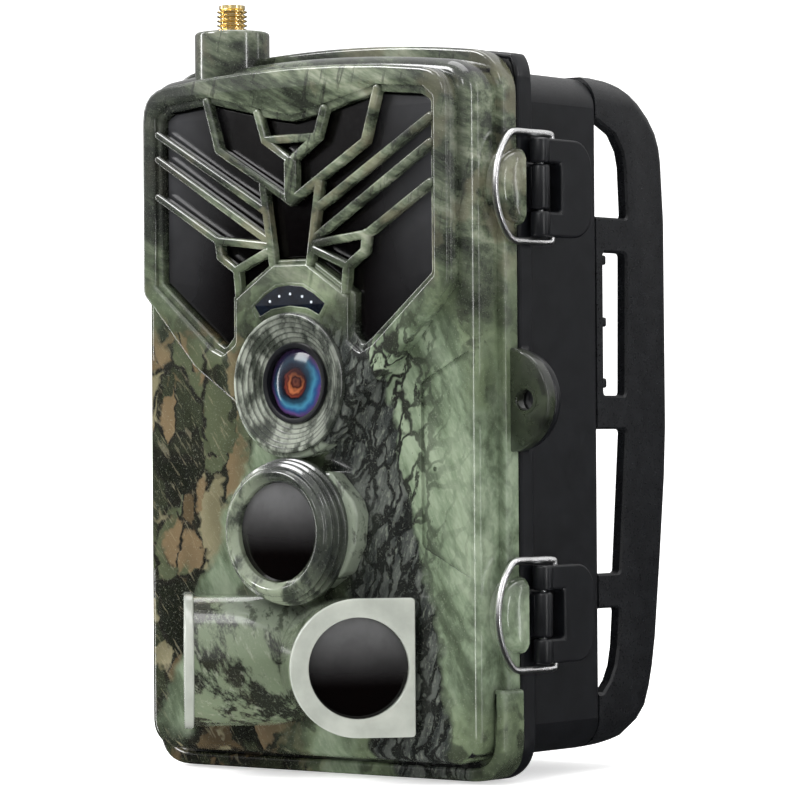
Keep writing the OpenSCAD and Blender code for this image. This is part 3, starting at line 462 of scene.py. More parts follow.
camo = make_camo("camo_film")
dark_camo = make_camo("camo_dark", (0.25, 0.25, 0.25), (0.26, 0.36))
bezel = make_plain("camo_pale", (0.320, 0.340, 0.300), (0.440, 0.458, 0.410), (0.14, 0.24), 0.10,
                   coat=0.5, fine=1.5)
black = make_plain("black_case", (0.0046, 0.0050, 0.0064), (0.0078, 0.0085, 0.0104), (0.28, 0.38),
                   0.3, bump=0.20, fine=3.2)
bracket_black = make_plain("bracket_black", (0.0060, 0.0064, 0.0076), (0.0095, 0.0102, 0.0118),
                           (0.26, 0.36), 0.3, bump=0.22, fine=1.6)
gloss = make_dome("dark_window")
lens_film = make_rings("lens_ring_film", LENS_Z, (0.32, 0.345, 0.29), 0.55, 0.75)
barrel_film = make_rings("barrel_film", SENSOR_Z, (0.225, 0.260, 0.185), 0.90, 0.0)
deep = make_filter("flash_window")
status = make_plain("status_lens", (0.003, 0.004, 0.007), (0.005, 0.008, 0.014),
                    (0.08, 0.14), 0.6, coat=0.6)
matt = make_plain("black_parts", (0.008, 0.008, 0.009), (0.016, 0.016, 0.018), (0.45, 0.6), 0.8)
clear = make_plain("clear_plastic", (0.55, 0.60, 0.66), (0.72, 0.77, 0.82), (0.10, 0.2), 0.8)
screen = make_plain("screen_glass", (0.012, 0.015, 0.018), (0.020, 0.024, 0.028),
                    (0.10, 0.18), 0.5, coat=0.6)
ceramic = make_plain("chip_ceramic", (0.015, 0.015, 0.017), (0.03, 0.03, 0.033), (0.3, 0.45), 0.8)
steel = make_plain("bare_steel", (0.42, 0.43, 0.44), (0.58, 0.59, 0.60),
                   (0.22, 0.36), 1.4, metallic=1.0)
chrome = make_plain("latch_wire", (0.86, 0.86, 0.86), (0.96, 0.96, 0.96),
                    (0.26, 0.36), 0.9, metallic=1.0, bump=0.05)
keys = make_plain("key_plastic", (0.30, 0.32, 0.31), (0.38, 0.40, 0.39), (0.45, 0.6), 1.2)
gold = make_plain("gold_plate", (0.96, 0.74, 0.34), (1.00, 0.84, 0.50),
                  (0.16, 0.26), 1.4, metallic=1.0)
insert = make_plain("insert_brass", (0.50, 0.36, 0.13), (0.62, 0.46, 0.20),
                    (0.22, 0.34), 1.4, metallic=1.0)
rubber = make_plain("seal_rubber", (0.010, 0.010, 0.010), (0.018, 0.018, 0.018),
                    (0.6, 0.75), 1.0, bump=0.25)
board = make_board("circuit_board")
lens = make_lens("lens_glass")
cells = make_cells("cell_jacket")

BY_SLOT = {
    "camo_shell": camo, "pale_bezel": bezel, "black_case": black, "dark_window": gloss,
    "status_lens": status, "black_parts": matt, "lens_glass": lens, "clear_plastic": clear,
    "circuit_board": board, "chip_ceramic": ceramic, "bare_steel": steel, "latch_wire": chrome,
    "key_plastic": keys, "gold_plate": gold, "insert_brass": insert, "seal_rubber": rubber,
    "cell_jacket": cells,
}
SLOT_OF = {p["node"]: p["material_slot"] for p in frame["record"]["subparts"]}

# Edge rounding for the CAD nodes that are shown as they are, in millimetres.
ROUND = {"rear_case": 0.8, "lever_upper": 0.55, "lever_lower": 0.55, "inner_cover": 0.25,
         "battery_tray": 0.3, "port_flap": 0.4}
for name, obj in frame["nodes"].items():
    obj.data.materials.clear()
    obj.data.materials.append(screen if name == "lcd_window" else BY_SLOT[SLOT_OF[name]])
    if name in ROUND:
        weld = obj.modifiers.new("weld", "WELD")
        weld.merge_threshold = 0.00001
        bev = obj.modifiers.new("edges", "BEVEL")
        bev.width = ROUND[name] * MM
        bev.segments = 3
        bev.limit_method = "ANGLE"
        bev.angle_limit = math.radians(32)
        bev.use_clamp_overlap = False

# ---- mesh helpers, in case millimetres

SCENE = bpy.context.scene.collection
# Turns of local shapes. Their x, y and z come to lie along X Z -Y, along X -Z Y, and along Y Z X.
FRONT = Matrix(((1, 0, 0, 0), (0, 0, -1, 0), (0, 1, 0, 0), (0, 0, 0, 1)))
BACK = Matrix(((1, 0, 0, 0), (0, 0, 1, 0), (0, -1, 0, 0), (0, 0, 0, 1)))
ACROSS = Matrix(((0, 0, 1, 0), (1, 0, 0, 0), (0, 1, 0, 0), (0, 0, 0, 1)))
MIRROR = Matrix.Diagonal((-1, 1, 1, 1))
TINY = 1e-6


def forward_at(x, z, y):
    """Local Z towards the front from the point (x, y, z)."""
    return Matrix.Translation((x, y, z)) @ FRONT


def placed(bm, matrix):
    """Moves a mesh, and turns its faces over where the matrix mirrors it."""
    bm.transform(matrix)
    if matrix.determinant() < 0:
        bmesh.ops.reverse_faces(bm, faces=bm.faces)
    return bm


def to_object(name, bm):
    """Makes a linked object of a mesh, and frees the mesh."""
    me = bpy.data.meshes.new(name)
    bm.to_mesh(me)
    bm.free()
    ob = bpy.data.objects.new(name, me)
    SCENE.objects.link(ob)
    return ob


def evaluated(objects):
    """The mesh of the first object with its modifiers applied; removes all the objects."""
    depsgraph = bpy.context.evaluated_depsgraph_get()
    mesh = bpy.data.meshes.new_from_object(objects[0].evaluated_get(depsgraph))
    bm = bmesh.new()
    bm.from_mesh(mesh)
    bpy.data.meshes.remove(mesh)
    for ob in objects:
        bpy.data.objects.remove(ob)
    return bm


def plate(outlines, t, bevel, matrix, segs=3):
    """Flat plate from closed outlines (holes inside), t thick, both faces rounded by bevel."""
    cu = bpy.data.curves.new("tmp", "CURVE")
    cu.dimensions = "2D"
    cu.fill_mode = "BOTH"
    cu.bevel_depth, cu.bevel_resolution = bevel, segs
    cu.extrude = max(t / 2 - bevel, 0.0)
    cu.offset = -bevel
    for line in outlines:
        sp = cu.splines.new("POLY")
        sp.points.add(len(line) - 1)
        for p, (u, v) in zip(sp.points, line):
            p.co = (u, v, 0, 1)
        sp.use_cyclic_u = True
    ob = bpy.data.objects.new("tmp", cu)
    SCENE.objects.link(ob)
    bm = placed(evaluated([ob]), matrix)
    bpy.data.curves.remove(cu)
    bmesh.ops.remove_doubles(bm, verts=bm.verts, dist=1e-4)
    bmesh.ops.recalc_face_normals(bm, faces=bm.faces)
    return bm


def front_plate(outlines, y0, y1, bevel, segs=3):
    """Plate of X-Z outlines between two depths."""
    return plate(outlines, y1 - y0, bevel, forward_at(0, 0, (y0 + y1) / 2), segs)


def arc(cx, cy, r, start, end, n):
    """n + 1 points of an arc between two angles in degrees."""
    angles = [math.radians(start + (end - start) * k / n) for k in range(n + 1)]
    return [(cx + r * math.cos(a), cy + r * math.sin(a)) for a in angles]


def circle(cx, cy, r, n=64):
    angles = [2 * math.pi * k / n for k in range(n)]
    return [(cx + r * math.cos(a), cy + r * math.sin(a)) for a in angles]


def lathe(profile, matrix, steps=96):
    """Turned shape: profile of (radius, height) points round the local Z axis."""
    bm = bmesh.new()
    rings = []
    for r, h in profile:
        ring = circle(0, 0, r, steps) if r > TINY else [(0, 0)]
        rings.append([bm.verts.new((x, y, h)) for x, y in ring])
    closed = profile[0][0] > TINY and profile[-1][0] > TINY
    pairs = list(zip(rings, rings[1:])) + ([(rings[-1], rings[0])] if closed else [])
    for a, b in pairs:
        for k in range(steps):
            n = (k + 1) % steps
            quad = [a[k % len(a)], a[n % len(a)], b[n % len(b)], b[k % len(b)]]
            quad = [v for i, v in enumerate(quad) if v not in quad[:i]]
            if len(quad) > 2:
                bm.faces.new(quad)
    bmesh.ops.recalc_face_normals(bm, faces=bm.faces)
    return placed(bm, matrix)


def loft(rings):
    """Closed skin through rings of points, with flat ends."""
    bm = bmesh.new()
    rows = [[bm.verts.new(p) for p in ring] for ring in rings]
    for a, b in zip(rows, rows[1:]):
        for k in range(len(a)):
            n = (k + 1) % len(a)
            bm.faces.new((a[k], a[n], b[n], b[k]))
    bm.faces.new(rows[0][::-1])
    bm.faces.new(rows[-1])
    bmesh.ops.recalc_face_normals(bm, faces=bm.faces)
    return bm


def tube(points, radius, steps=14):
    """Round wire along a line of points."""
    pts = [Vector(p) for p in points]
    angles = [2 * math.pi * k / steps for k in range(steps)]
    rings = []
    normal = None
    for i, p in enumerate(pts):
        a = pts[max(i - 1, 0)]
        b = pts[min(i + 1, len(pts) - 1)]
        t = (b - a).normalized()
        if normal is None:
            normal = t.orthogonal().normalized()
        normal = (normal - t * normal.dot(t)).normalized()
        side_v = t.cross(normal)
        rings.append([p + (normal * math.cos(q) + side_v * math.sin(q)) * radius for q in angles])
    return loft(rings)


def join(*parts):
    """Several meshes in one, each left as it is."""
    out = bmesh.new()
    for bm in parts:
        me = bpy.data.meshes.new("tmp")
        bm.to_mesh(me)
        out.from_mesh(me)
        bpy.data.meshes.remove(me)
        bm.free()
    return out


def piece(name, bm, material, nodes=(), smooth=28.0, body="front_cover"):
    """Makes a shown piece of a mesh; it rides on a body and takes the place of CAD nodes."""
    scale = Matrix.Scale(MM, 4) @ Matrix.Translation([-v for v in ORIGIN])
    bm.transform(scale)
    for f in bm.faces:
        f.smooth = True
    limit = math.radians(smooth)
    for e in bm.edges:
        if len(e.link_faces) == 2 and e.calc_face_angle(0.0) > limit:
            e.smooth = False
    ob = to_object(name, bm)
    ob.data.materials.append(material)
    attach(ob, body)
    if nodes:
        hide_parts(*nodes)


def boolean(bm, cutters, op="DIFFERENCE"):
    """Cuts cutters from bm, joins them to it, or keeps what it shares with them."""
    base = to_object("tmp", bm)
    tools = [to_object("cut", cutter) for cutter in cutters]
    for tool in tools:
        modifier = base.modifiers.new("cut", "BOOLEAN")
        modifier.operation = op
        modifier.solver = "MANIFOLD"
        modifier.object = tool
    return evaluated([base] + tools)


def prism(points, lo, hi, matrix=FRONT):
    """Straight prism of a 2D outline between two local heights."""
    bm = loft([[(u, v, lo) for u, v in points], [(u, v, hi) for u, v in points]])
    bm.transform(matrix)
    bmesh.ops.recalc_face_normals(bm, faces=bm.faces)
    return bm


def bend(p0, corner, p1, n):
    """n + 1 points of the curve from p0 to p1 that a corner pulls outwards."""
    return [tuple((1 - t) ** 2 * p0 + 2 * t * (1 - t) * corner + t * t * p1)
            for t in (k / n for k in range(n + 1))]


def fillet(points, r, n=5):
    """Rounds the corners of a closed outline; r is one radius or one per corner."""
    out = []
    count = len(points)
    for i in range(count):
        p = Vector(points[i])
        a, b = Vector(points[i - 1]), Vector(points[(i + 1) % count])
        ri = r[i] if isinstance(r, (list, tuple)) else r
        da, db = (a - p), (b - p)
        la, lb = da.length, db.length
        da.normalize()
        db.normalize()
        ang = da.angle(db)
        if ri <= 0 or ang > math.radians(176):
            out.append(tuple(p))
            continue
        cut = min(ri / math.tan(ang / 2), la * 0.45, lb * 0.45)
        out += bend(p + da * cut, p, p + db * cut, n)
    return out


def both(points):
    """Mirrors right-hand points to the left into one closed outline."""
    return list(points) + [(-x, z) for x, z in reversed(points) if x > 0]


ARCH_R = 300.0


def drop(x):
    """How far the arched top has fallen at x."""
    return ARCH_R - math.sqrt(ARCH_R ** 2 - x * x)


def shell(w, z0, z1, r, inset=0.0, arched=True, n=9, top=24):
    """Rounded outline with the shallow arch along the top, drawn inset."""
    h, lo, hi, rr = w / 2 - inset, z0 + inset, z1 - inset, max(r - inset, 0.6)
    pts = []
    corners = ((h - rr, lo + rr, -90), (h - rr, hi - rr, 0), (-h + rr, hi - rr, 90),
               (-h + rr, lo + rr, 180))
    for cx, cz, a0 in corners:
        for k in range(n):
            a = math.radians(a0 + 90 * k / (n - 1))
            pts.append([cx + rr * math.cos(a), cz + rr * math.sin(a)])
        if a0 == 0:
            for k in range(1, top):
                pts.append([h - rr - (2 * h - 2 * rr) * k / top, hi])
    if arched:
        for p in pts:
            if p[1] > hi - rr - TINY:
                p[1] -= drop(p[0])
    return [tuple(p) for p in pts]


def slice_off(bm, point, normal):
    """Removes what lies past a plane, and closes the cut."""
    bmesh.ops.bisect_plane(bm, geom=bm.verts[:] + bm.edges[:] + bm.faces[:], plane_co=point,
                           plane_no=normal, clear_outer=True)
    bmesh.ops.holes_fill(bm, edges=[e for e in bm.edges if e.is_boundary], sides=0)


def sharp_profile(profile, r, n=3):
    """Rounds the corners of an open lathe profile."""
    out = [profile[0]]
    for a, p, b in zip(profile, profile[1:], profile[2:]):
        a, p, b = Vector(a), Vector(p), Vector(b)
        la, lb = (a - p).length, (b - p).length
        c = min(r, la * 0.45, lb * 0.45)
        out += bend(p + (a - p).normalized() * c, p, p + (b - p).normalized() * c, n)
    out.append(profile[-1])
    return out


# ---- front cover

# Depths in front of the parting face: panel, raised frame, flange, and the cover's own back edge.
COVER_D, FRAME_Y, FLANGE, BACK_EDGE = 13.8, 18.0, 4.9, 0.15
PANEL = (86.6, 3.9, 147.0, 6.0)
WALL, EDGE = 2.0, 3.2

flange = front_plate([shell(90.0, 0, 149.5, 8.0), shell(*PANEL, inset=WALL)], -FLANGE, -BACK_EDGE, 0.7)
FOOT = [(-46, 0.2), (46, 0.2), (46, 18.8), (43.5, 18.8), (43.5, 3), (-43.5, 3), (-43.5, 18.8),
        (-46, 18.8)]
FOOT_R = [8.3, 8.3, 1.2, 0.3, 6, 6, 0.3, 1.2]
foot = front_plate([fillet(FOOT, FOOT_R, 9)], -7.5, -BACK_EDGE, 0.8)
rings = [[(x, -FLANGE + 0.5, z) for x, z in shell(*PANEL)]]
for k in range(9):
    a = math.radians(90 * k / 8)
    i = EDGE * (1 - math.cos(a)) * 0.8
    rings.append([(x, -COVER_D + EDGE * (1 - math.sin(a)), z) for x, z in shell(*PANEL, inset=i)])
panel = loft(rings)
WINDOW = [(0, 134.5), (10.7, 136.8), (22.4, 139), (36, 137.5), (36, 101.5), (20.3, 88.4), (16, 88),
          (16, 98), (4.8, 105.2), (0, 105.2)]
PAD = [(46, 88.2), (31.2, 80.6), (30.6, 79.8), (30.6, 47.8), (31.2, 47), (46, 39.4)]
THROUGH = 16.0
cuts = [prism(both(WINDOW), 9, THROUGH), prism(PAD, COVER_D - 0.7, THROUGH),
        prism([(-x, z) for x, z in PAD][::-1], COVER_D - 0.7, THROUGH),
        prism(circle(33.5, 62.8, 0.5, 16), 12.5, THROUGH), prism(circle(0, LENS_Z, 9.0), 8, THROUGH),
        prism(shell(*PANEL, inset=WALL), FLANGE - WALL, COVER_D - WALL)]
panel = boolean(panel, cuts)
BOSS = [(0, 62.4), (10.3, 62.4), (16.2, 56.4), (17.2, 53.6), (16.6, 47.6), (13.8, 42), (8.2, 38.6),
        (0, 37.6)]
boss = front_plate([fillet(both(BOSS), 1.6), circle(0, SENSOR_Z, 9.0)], -FRAME_Y, -COVER_D + 1.0, 0.8)
JACK = Matrix.Translation((-24, -7.6, 0))
antenna = lathe(sharp_profile([(3.1, 141), (7.85, 141), (7.85, 154.4), (3.1, 154.4)], 0.8, 5), JACK)
slice_off(antenna, (0, -BACK_EDGE, 0), (0, 1, 0))

LATCH_Z, LUG_Z, HINGE_X, KNUCKLE_Z, KNUCKLE = (119.3, 33.4), 76.5, -48.4, (32.3, 120.3), 8.0
KEEPER = ((43.0, 8.4, 0.0), (45.3, 7.7, 0.0), (46.1, 7.3, 0.1), (46.7, 6.6, 0.4), (47.1, 5.7, 0.8))


def keeper(z):
    """Half-round hook that the latch wire closes over, as half rings of (x, radius, lean)."""
    turns = [math.pi * k / 32 for k in range(33)]
    return loft([[(x, -BACK_EDGE - (r - lean) * math.sin(a), z + r * math.cos(a)) for a in turns]
                 for x, r, lean in KEEPER])


lug = plate([[(0, -10.2)] + arc(0, 0, 10.6, -80, 80, 40) + [(0, 10.2)], circle(4.9, 0, 2.2, 32)],
            3.0, 0.55, forward_at(43.6, LUG_Z, -1.65))
sink = lathe([(2.2, 0.02), (2.9, 0.02), (2.9, 0.12), (2.2, 0.12)], forward_at(48.5, LUG_Z, -3.15), 40)
hinges = []
for z in KNUCKLE_Z:
    knuckle = sharp_profile([(1.4, z), (3.0, z), (3.0, z + KNUCKLE), (1.4, z + KNUCKLE)], 0.4)
    hinges.append(lathe(knuckle, Matrix.Translation((HINGE_X, 0, 0)), 48))
    hinges.append(plate([[(0, 0), (4.8, 0), (4.8, KNUCKLE), (0, KNUCKLE)]], 2.85, 0.3,
                        forward_at(HINGE_X, z, -1.575)))
cover_shell = boolean(panel, [flange, foot, boss, antenna] + hinges, "UNION")
piece("cover_shell", cover_shell, camo, ["front_shell"], 30)
piece("latch_keepers", join(*[keeper(z) for z in LATCH_Z]), camo, smooth=40)
piece("padlock_lug", join(lug, sink), dark_camo)

# ---- grille

OPEN = [(8.4, 135.3), (11.6, 136.3), (22.4, 138.7), (33.5, 137.6), (35.8, 136.2), (35.8, 102),
        (20.3, 89.2), (18.3, 88), (16.2, 90.2), (16.2, 98.5), (4.8, 105.8)]
STEP = [(11.4, 137.6), (22.5, 140.1), (34.2, 139), (37, 136.8), (37, 101.4), (21, 87.8), (18.3, 86.6),
        (15, 88.8), (15, 98), (4.4, 104.9)]
# The frame's outline: an arched top, straight sides, and a collar round the lens.
FRAME_TOP, FRAME_W, COLLAR_R = 145.0, 40.4, 15.6
COLLAR = arc(0, LENS_Z, COLLAR_R, -14, -86, 18)
outer = [(x, FRAME_TOP - drop(x)) for x in (0, 12, 24, FRAME_W)] + [(FRAME_W, 99.6), (26, 83.9)]
outer = both(outer + COLLAR + [(0, LENS_Z - COLLAR_R)])
outer_r = [0, 0, 0, 7, 3, 1.5] + [0] * len(COLLAR)
outer = fillet(outer, outer_r + [0] + outer_r[:0:-1])
opening = fillet(both([(0, 133.9)] + OPEN), 0.8)
step = fillet(both([(0, 135)] + STEP), 1.0)
RING_HOLE = circle(0, LENS_Z, 14.0)
lower = front_plate([outer, opening, RING_HOLE], -FRAME_Y + 1.1, -COVER_D + 0.6, 0.5)
upper = front_plate([outer, step, RING_HOLE], -FRAME_Y, -FRAME_Y + 2.2, 0.75)
RIBS = [
    [(22.7, 139.3), (19.5, 128.9), (1.8, 118.7), (0, 117.4)],
    [(36.2, 133.0), (7.2, 116.1)],
    [(36.2, 127.8), (6.4, 109.9)],
    [(36.2, 119.9), (19.8, 110.2), (6.3, 108.7)],
    [(19.7, 110.4), (19.2, 106.8), (14.6, 103.8), (14.1, 98.9)],
    [(14.6, 104.0), (6.2, 107.5)],
    [(7.5, 121.2), (4.9, 104.8)],
    [(8.9, 136.1), (6.9, 130.4), (0, 125.9)],
    [(7.0, 130.4), (-7.0, 130.4)],
]
RIB_W, STEM_W = 1.8, 3.2


def bar(a, b, w, sunk):
    """Straight rib with round ends, from a to b, its face sunk below the frame's."""
    a, b = Vector(a), Vector(b)
    lean = math.atan2(b.y - a.y, b.x - a.x)
    outline = []
    for end, start in ((b, lean - math.pi / 2), (a, lean + math.pi / 2)):
        for turn in (start + math.pi * k / 8 for k in range(9)):
            outline.append((end.x + w / 2 * math.cos(turn), end.y + w / 2 * math.sin(turn)))
    return front_plate([outline], -FRAME_Y + sunk, -FRAME_Y + 2.5, 0.6, 4)


bars = []
for line in RIBS:
    for sign in (1, -1):
        for (x0, z0), (x1, z1) in zip(line, line[1:]):
            if sign > 0 or x0 + x1 > 0:
                bars.append(bar((sign * x0, z0), (sign * x1, z1), RIB_W, 0.05))
bars.append(bar((0, 118.6), (0, 125.4), STEM_W, 0))
FILTER = [(0, 133.6), (8.5, 135), (11.7, 136), (22.4, 138.4), (33.4, 137.3), (35.5, 136), (35.5, 102.1),
          (20.1, 89.6), (18.4, 88.5), (16.5, 90.4), (16.5, 98.7), (4.9, 106.1)]
FILTER_RIM = [(0, 136.5), (14.6, 138.4), (22, 140.3), (36.9, 139), (36.9, 100.5), (20.6, 86.2),
              (14.4, 86.2), (14.4, 96.5), (9.4, 99.9)]
FILTER_BACK = -10.55
filter_face = front_plate([fillet(both(FILTER + [(0, 106.1)]), 0.4)], -15.25, FILTER_BACK, 0.3)
filter_rim = front_plate([fillet(both(FILTER_RIM), 0.5)], -11.65, FILTER_BACK, 0.2)
piece("flash_filter", join(filter_face, filter_rim), deep, ["ir_filter"], 30)
STATUS = both([(0, 100.4), (3.4, 100.1), (6.4, 98.6), (9.4, 96.4), (7.8, 94.2), (4.8, 95.6), (0, 96.2)])
STATUS_Z, GLASS_Y = 97.6, -FRAME_Y - 0.02
status_edge = [(x * 1.10, STATUS_Z + (z - STATUS_Z) * 1.22) for x, z in STATUS]
rim = front_plate([fillet(status_edge, 0.4), fillet(STATUS, 0.3)], -FRAME_Y - 0.12, -FRAME_Y + 1.0, 0.12)
piece("grille", boolean(lower, [upper, rim] + bars, "UNION"), camo, ["ir_frame"], 30)
glass = front_plate([fillet(STATUS, 0.3)], GLASS_Y, -FRAME_Y + 1.0, 0.1)
piece("status_cover", glass, status, ["status_window"])
DOT = [(0, 0.22), (0.18, 0.20), (0.27, 0.10), (0.30, 0), (0, 0)]
DOTS_AT = [(-5.2, 97.2), (-2.7, 98.2), (0.2, 98.6), (3.4, 98.0), (5.8, 96.8)]
dots = [lathe(DOT, forward_at(x, z, GLASS_Y), 20) for x, z in DOTS_AT]
piece("status_dots", join(*dots), clear, ["status_leds"])

# ---- lens and sensors

RING_TOP, RING_STEP, RING_STEPS = 5.4, 0.62, 5
steps = [(8.3, -0.6), (14.4, -0.6), (14.4, 4.9), (14.1, RING_TOP)]
for i in range(RING_STEPS):
    steps += [(13.3 - i, RING_TOP - i * RING_STEP), (13.3 - i, RING_TOP - (i + 1) * RING_STEP)]
steps += [(8.3, RING_TOP - RING_STEPS * RING_STEP)]
LENS_AXIS = forward_at(0, LENS_Z, -COVER_D)
surround = lathe(sharp_profile(steps, 0.2), LENS_AXIS, 128)
piece("lens_surround", surround, lens_film, ["lens_ring"], 24)
rim_profile = sharp_profile([(7.2, 1.2), (7.2, 3.05), (8.25, 3.15), (8.25, -6)], 0.15)
lens_tube = lathe([(6.3, -6), (6.3, 1.2)] + rim_profile, LENS_AXIS)
piece("lens_tube", lens_tube, black, ["lens_barrel"])
CURVE, HALF_ANGLE = 4.6, math.radians(48)
dome = [(GLASS_R * math.sin(a) / math.sin(HALF_ANGLE),
         0.8 + CURVE * (math.cos(a) - math.cos(HALF_ANGLE)))
        for a in (math.radians(t) for t in range(48, -1, -4))]
front_glass = lathe([(0, 0.3), (GLASS_R, 0.3)] + dome, forward_at(0, LENS_Z, -COVER_D - 0.9))
piece("lens_front_glass", front_glass, lens, ["lens_front"])

PIR = [(9, -0.5), (15.1, -0.5), (15.1, 1), (14.2, 1.3), (14.2, 1.6), (14.7, 1.8), (14.7, 2.6),
       (13.8, 2.9), (13.8, 3.2), (14.2, 3.4), (14.2, 4.1), (13.2, 4.5), (13, 5.2), (12.3, 6),
       (11.6, 6), (10.2, 4.7), (10.2, 3.3), (9, 3.3)]
barrel = lathe(sharp_profile(PIR, 0.3, 4), forward_at(0, SENSOR_Z, -FRAME_Y), 128)
piece("sensor_barrel", barrel, barrel_film, ["pir_barrel"], 24)
WINDOW_R = 10.05


def window(edge, matrix):
    """Domed sensor window with an upright edge, base at local height 0."""
    bulge = [(WINDOW_R * math.sqrt(1 - t), edge + 1.15 * t) for t in (k / 14 for k in range(1, 15))]
    return lathe([(0, 0), (WINDOW_R, 0), (WINDOW_R, edge)] + bulge, matrix)


centre = window(0.45, forward_at(0, SENSOR_Z, -FRAME_Y - 3.2))
piece("centre_dome", centre, gloss, ["centre_window"], 60)

# A pod's face is square at its outer end and round about its window, whose middle is at x -11.4.
POD = (Matrix.Translation((30.9, -16.4, 23.3)) @ Matrix.Rotation(math.radians(48), 4, "Z")
       @ Matrix.Rotation(math.radians(90), 4, "X"))
FACE_W, FACE_X, POD_INSET = 13.9, -11.4, 0.4
FACE = [(0, -FACE_W), (0, FACE_W)] + arc(FACE_X, 0, FACE_W, 90, 270, 40)
FACE_R = [0.9, 0.9] + [0] * (len(FACE) - 2)
BODY = [(x + POD_INSET * (x < FACE_X) - POD_INSET * (x >= -0.1), y * 0.97) for x, y in FACE]
for word, m, sign in (("right", POD, 1), ("left", MIRROR @ POD, -1)):
    body = placed(loft([[(x, y, z) for x, y in BODY] for z in (-30, -1.8)]), m)
    slice_off(body, (0, -COVER_D + 0.3, 0), (0, 1, 0))
    slice_off(body, (sign * 0.02, 0, 0), (-sign, 0, 0))
    piece("pod_" + word, body, camo, ["side_pod_" + word], 40)
    ring = plate([fillet(FACE, FACE_R), circle(FACE_X, 0, 10.1)], 2.0, 0.4,
                 m @ Matrix.Translation((0, 0, -1)))
    piece("pod_bezel_" + word, ring, bezel, ["side_bezel_" + word], 30)
    disc = window(0.35, m @ Matrix.Translation((FACE_X, 0, -1.75)))
    piece("pod_dome_" + word, disc, gloss, ["side_window_" + word], 60)

# ---- antenna jack

SOCKET_Z, PITCH, RIDGES = 154.2, 0.95, 5
thread = [(0, SOCKET_Z), (2.2, SOCKET_Z), (3.0, SOCKET_Z)]
for k in range(RIDGES):
    z = SOCKET_Z + 0.4 + k * PITCH
    thread += [(2.45, z), (3.17, z + 0.30), (3.17, z + 0.48), (2.45, z + 0.78)]
thread += [(2.75, 159.4), (2.7, 160.1), (2.15, 160.15), (2.1, 156.6), (0.75, 156.6), (0.7, 159.2),
           (0, 159.4)]
piece("antenna_socket", lathe(thread, JACK, 64), gold, ["sma_jack"], 40)

# ---- latch wires


def smooth_line(points, n=8):
    """Catmull-Rom line through the points."""
    p = [Vector(q) for q in points]
    p = [p[0] * 2 - p[1]] + p + [p[-1] * 2 - p[-2]]
    out = []
    for i in range(1, len(p) - 2):
        for k in range(n):
            t = k / n
            first = p[i + 1] - p[i - 1]
            second = 2 * p[i - 1] - 5 * p[i] + 4 * p[i + 1] - p[i + 2]
            third = 3 * p[i] - p[i - 1] - 3 * p[i + 1] + p[i + 2]
            out.append(0.5 * (2 * p[i] + first * t + second * t * t + third * t ** 3))
    out.append(p[-2])
    return out


# The upper half of a wire, from the lever to the middle of the keeper; the lower half mirrors it.
HALF_WIRE = [(47.0, 8.4, 7.2), (47.0, 8.5, 10.2), (46.9, 7.6, 10.9), (46.4, 2.0, 10.95),
             (46.1, -2.8, 10.9), (45.95, -5.0, 9.7), (45.8, -6.9, 7.0), (45.65, -8.1, 3.6),
             (45.6, -8.55, 0)]
WIRE_R = 0.7
line = HALF_WIRE + [(x, y, -z) for x, y, z in reversed(HALF_WIRE[:-1])]
for word, zc in zip(("upper", "lower"), LATCH_Z):
    wire = tube([(q.x, q.y, q.z + zc) for q in smooth_line(line)], WIRE_R)
    piece("latch_wire_" + word, wire, chrome, ["bail_" + word], 60, word + "_bail")

# ---- rear bracket

CASE_BACK, HALF_W = 31.0, 42.0
SIDE = [(CASE_BACK, 143.9), (34.5, 143.9), (38.1, 143.5), (41.9, 142.6), (45.1, 141.5), (48.1, 139.9),
        (51.8, 137), (54.5, 133.9), (56, 130.7), (56.7, 127.4), (57.7, 114.7), (57.9, 71), (57.3, 60.5),
        (55.5, 43.6), (53.5, 26.7), (52.3, 20.5), (51, 16), (49.2, 11.9), (46, 8.9), (40.5, 6.2),
        (34.5, 5), (CASE_BACK, 4.6)]
HOLLOW = [(30, 139.9), (36, 139.6), (42, 137.9), (44.5, 136.4), (60, 136.4), (60, 13.6), (44.3, 13.6),
          (43.5, 12.8), (39, 10.2), (34, 8.9), (30, 8.5)]
SLOTS = [[(30, 134.9), (31.6, 134.9), (38.1, 132.1), (40.8, 128.7), (41.7, 125.6), (42.4, 114.7),
          (30, 114.7)],
         [(33.6, 107.4), (41.8, 107.4), (41.4, 77.6), (33.6, 77.6)],
         [(30, 70.6), (41.5, 70.6), (38.9, 40.6), (30, 40.6)],
         [(30, 33.4), (38.8, 33.4), (38, 25.4), (37, 21.3), (35.2, 18.3), (32.5, 15.8), (30, 15.8)]]


def inset_side(d):
    """The side profile drawn d inside itself; its two ends stay on the case's back."""
    pts = [Vector(p) for p in SIDE]
    out = []
    for i, p in enumerate(pts):
        a = pts[max(i - 1, 0)]
        b = pts[min(i + 1, len(pts) - 1)]
        t = (b - a).normalized()
        out.append(tuple(p + Vector((t.y, -t.x)) * d))
    out[0] = (CASE_BACK, pts[0].y - d)
    out[-1] = (CASE_BACK, pts[-1].y + d)
    return out


R_EDGE = 3.2
half_rows = arc(HALF_W - R_EDGE, 0, R_EDGE, 0, 90, 6)
rows = [[(-x, y, z) for y, z in inset_side(R_EDGE - d)] for x, d in half_rows]
rows += [[(x, y, z) for y, z in inset_side(R_EDGE - d)] for x, d in reversed(half_rows)]
case_outline = shell(2 * HALF_W, 4.4, 144.4, 6.5, arched=False)
side_body = boolean(loft(rows), [prism(case_outline, -70, -25)], "INTERSECT")
cutters = [prism(fillet(HOLLOW, 0.3, 2), -39.7, 39.7, ACROSS)]


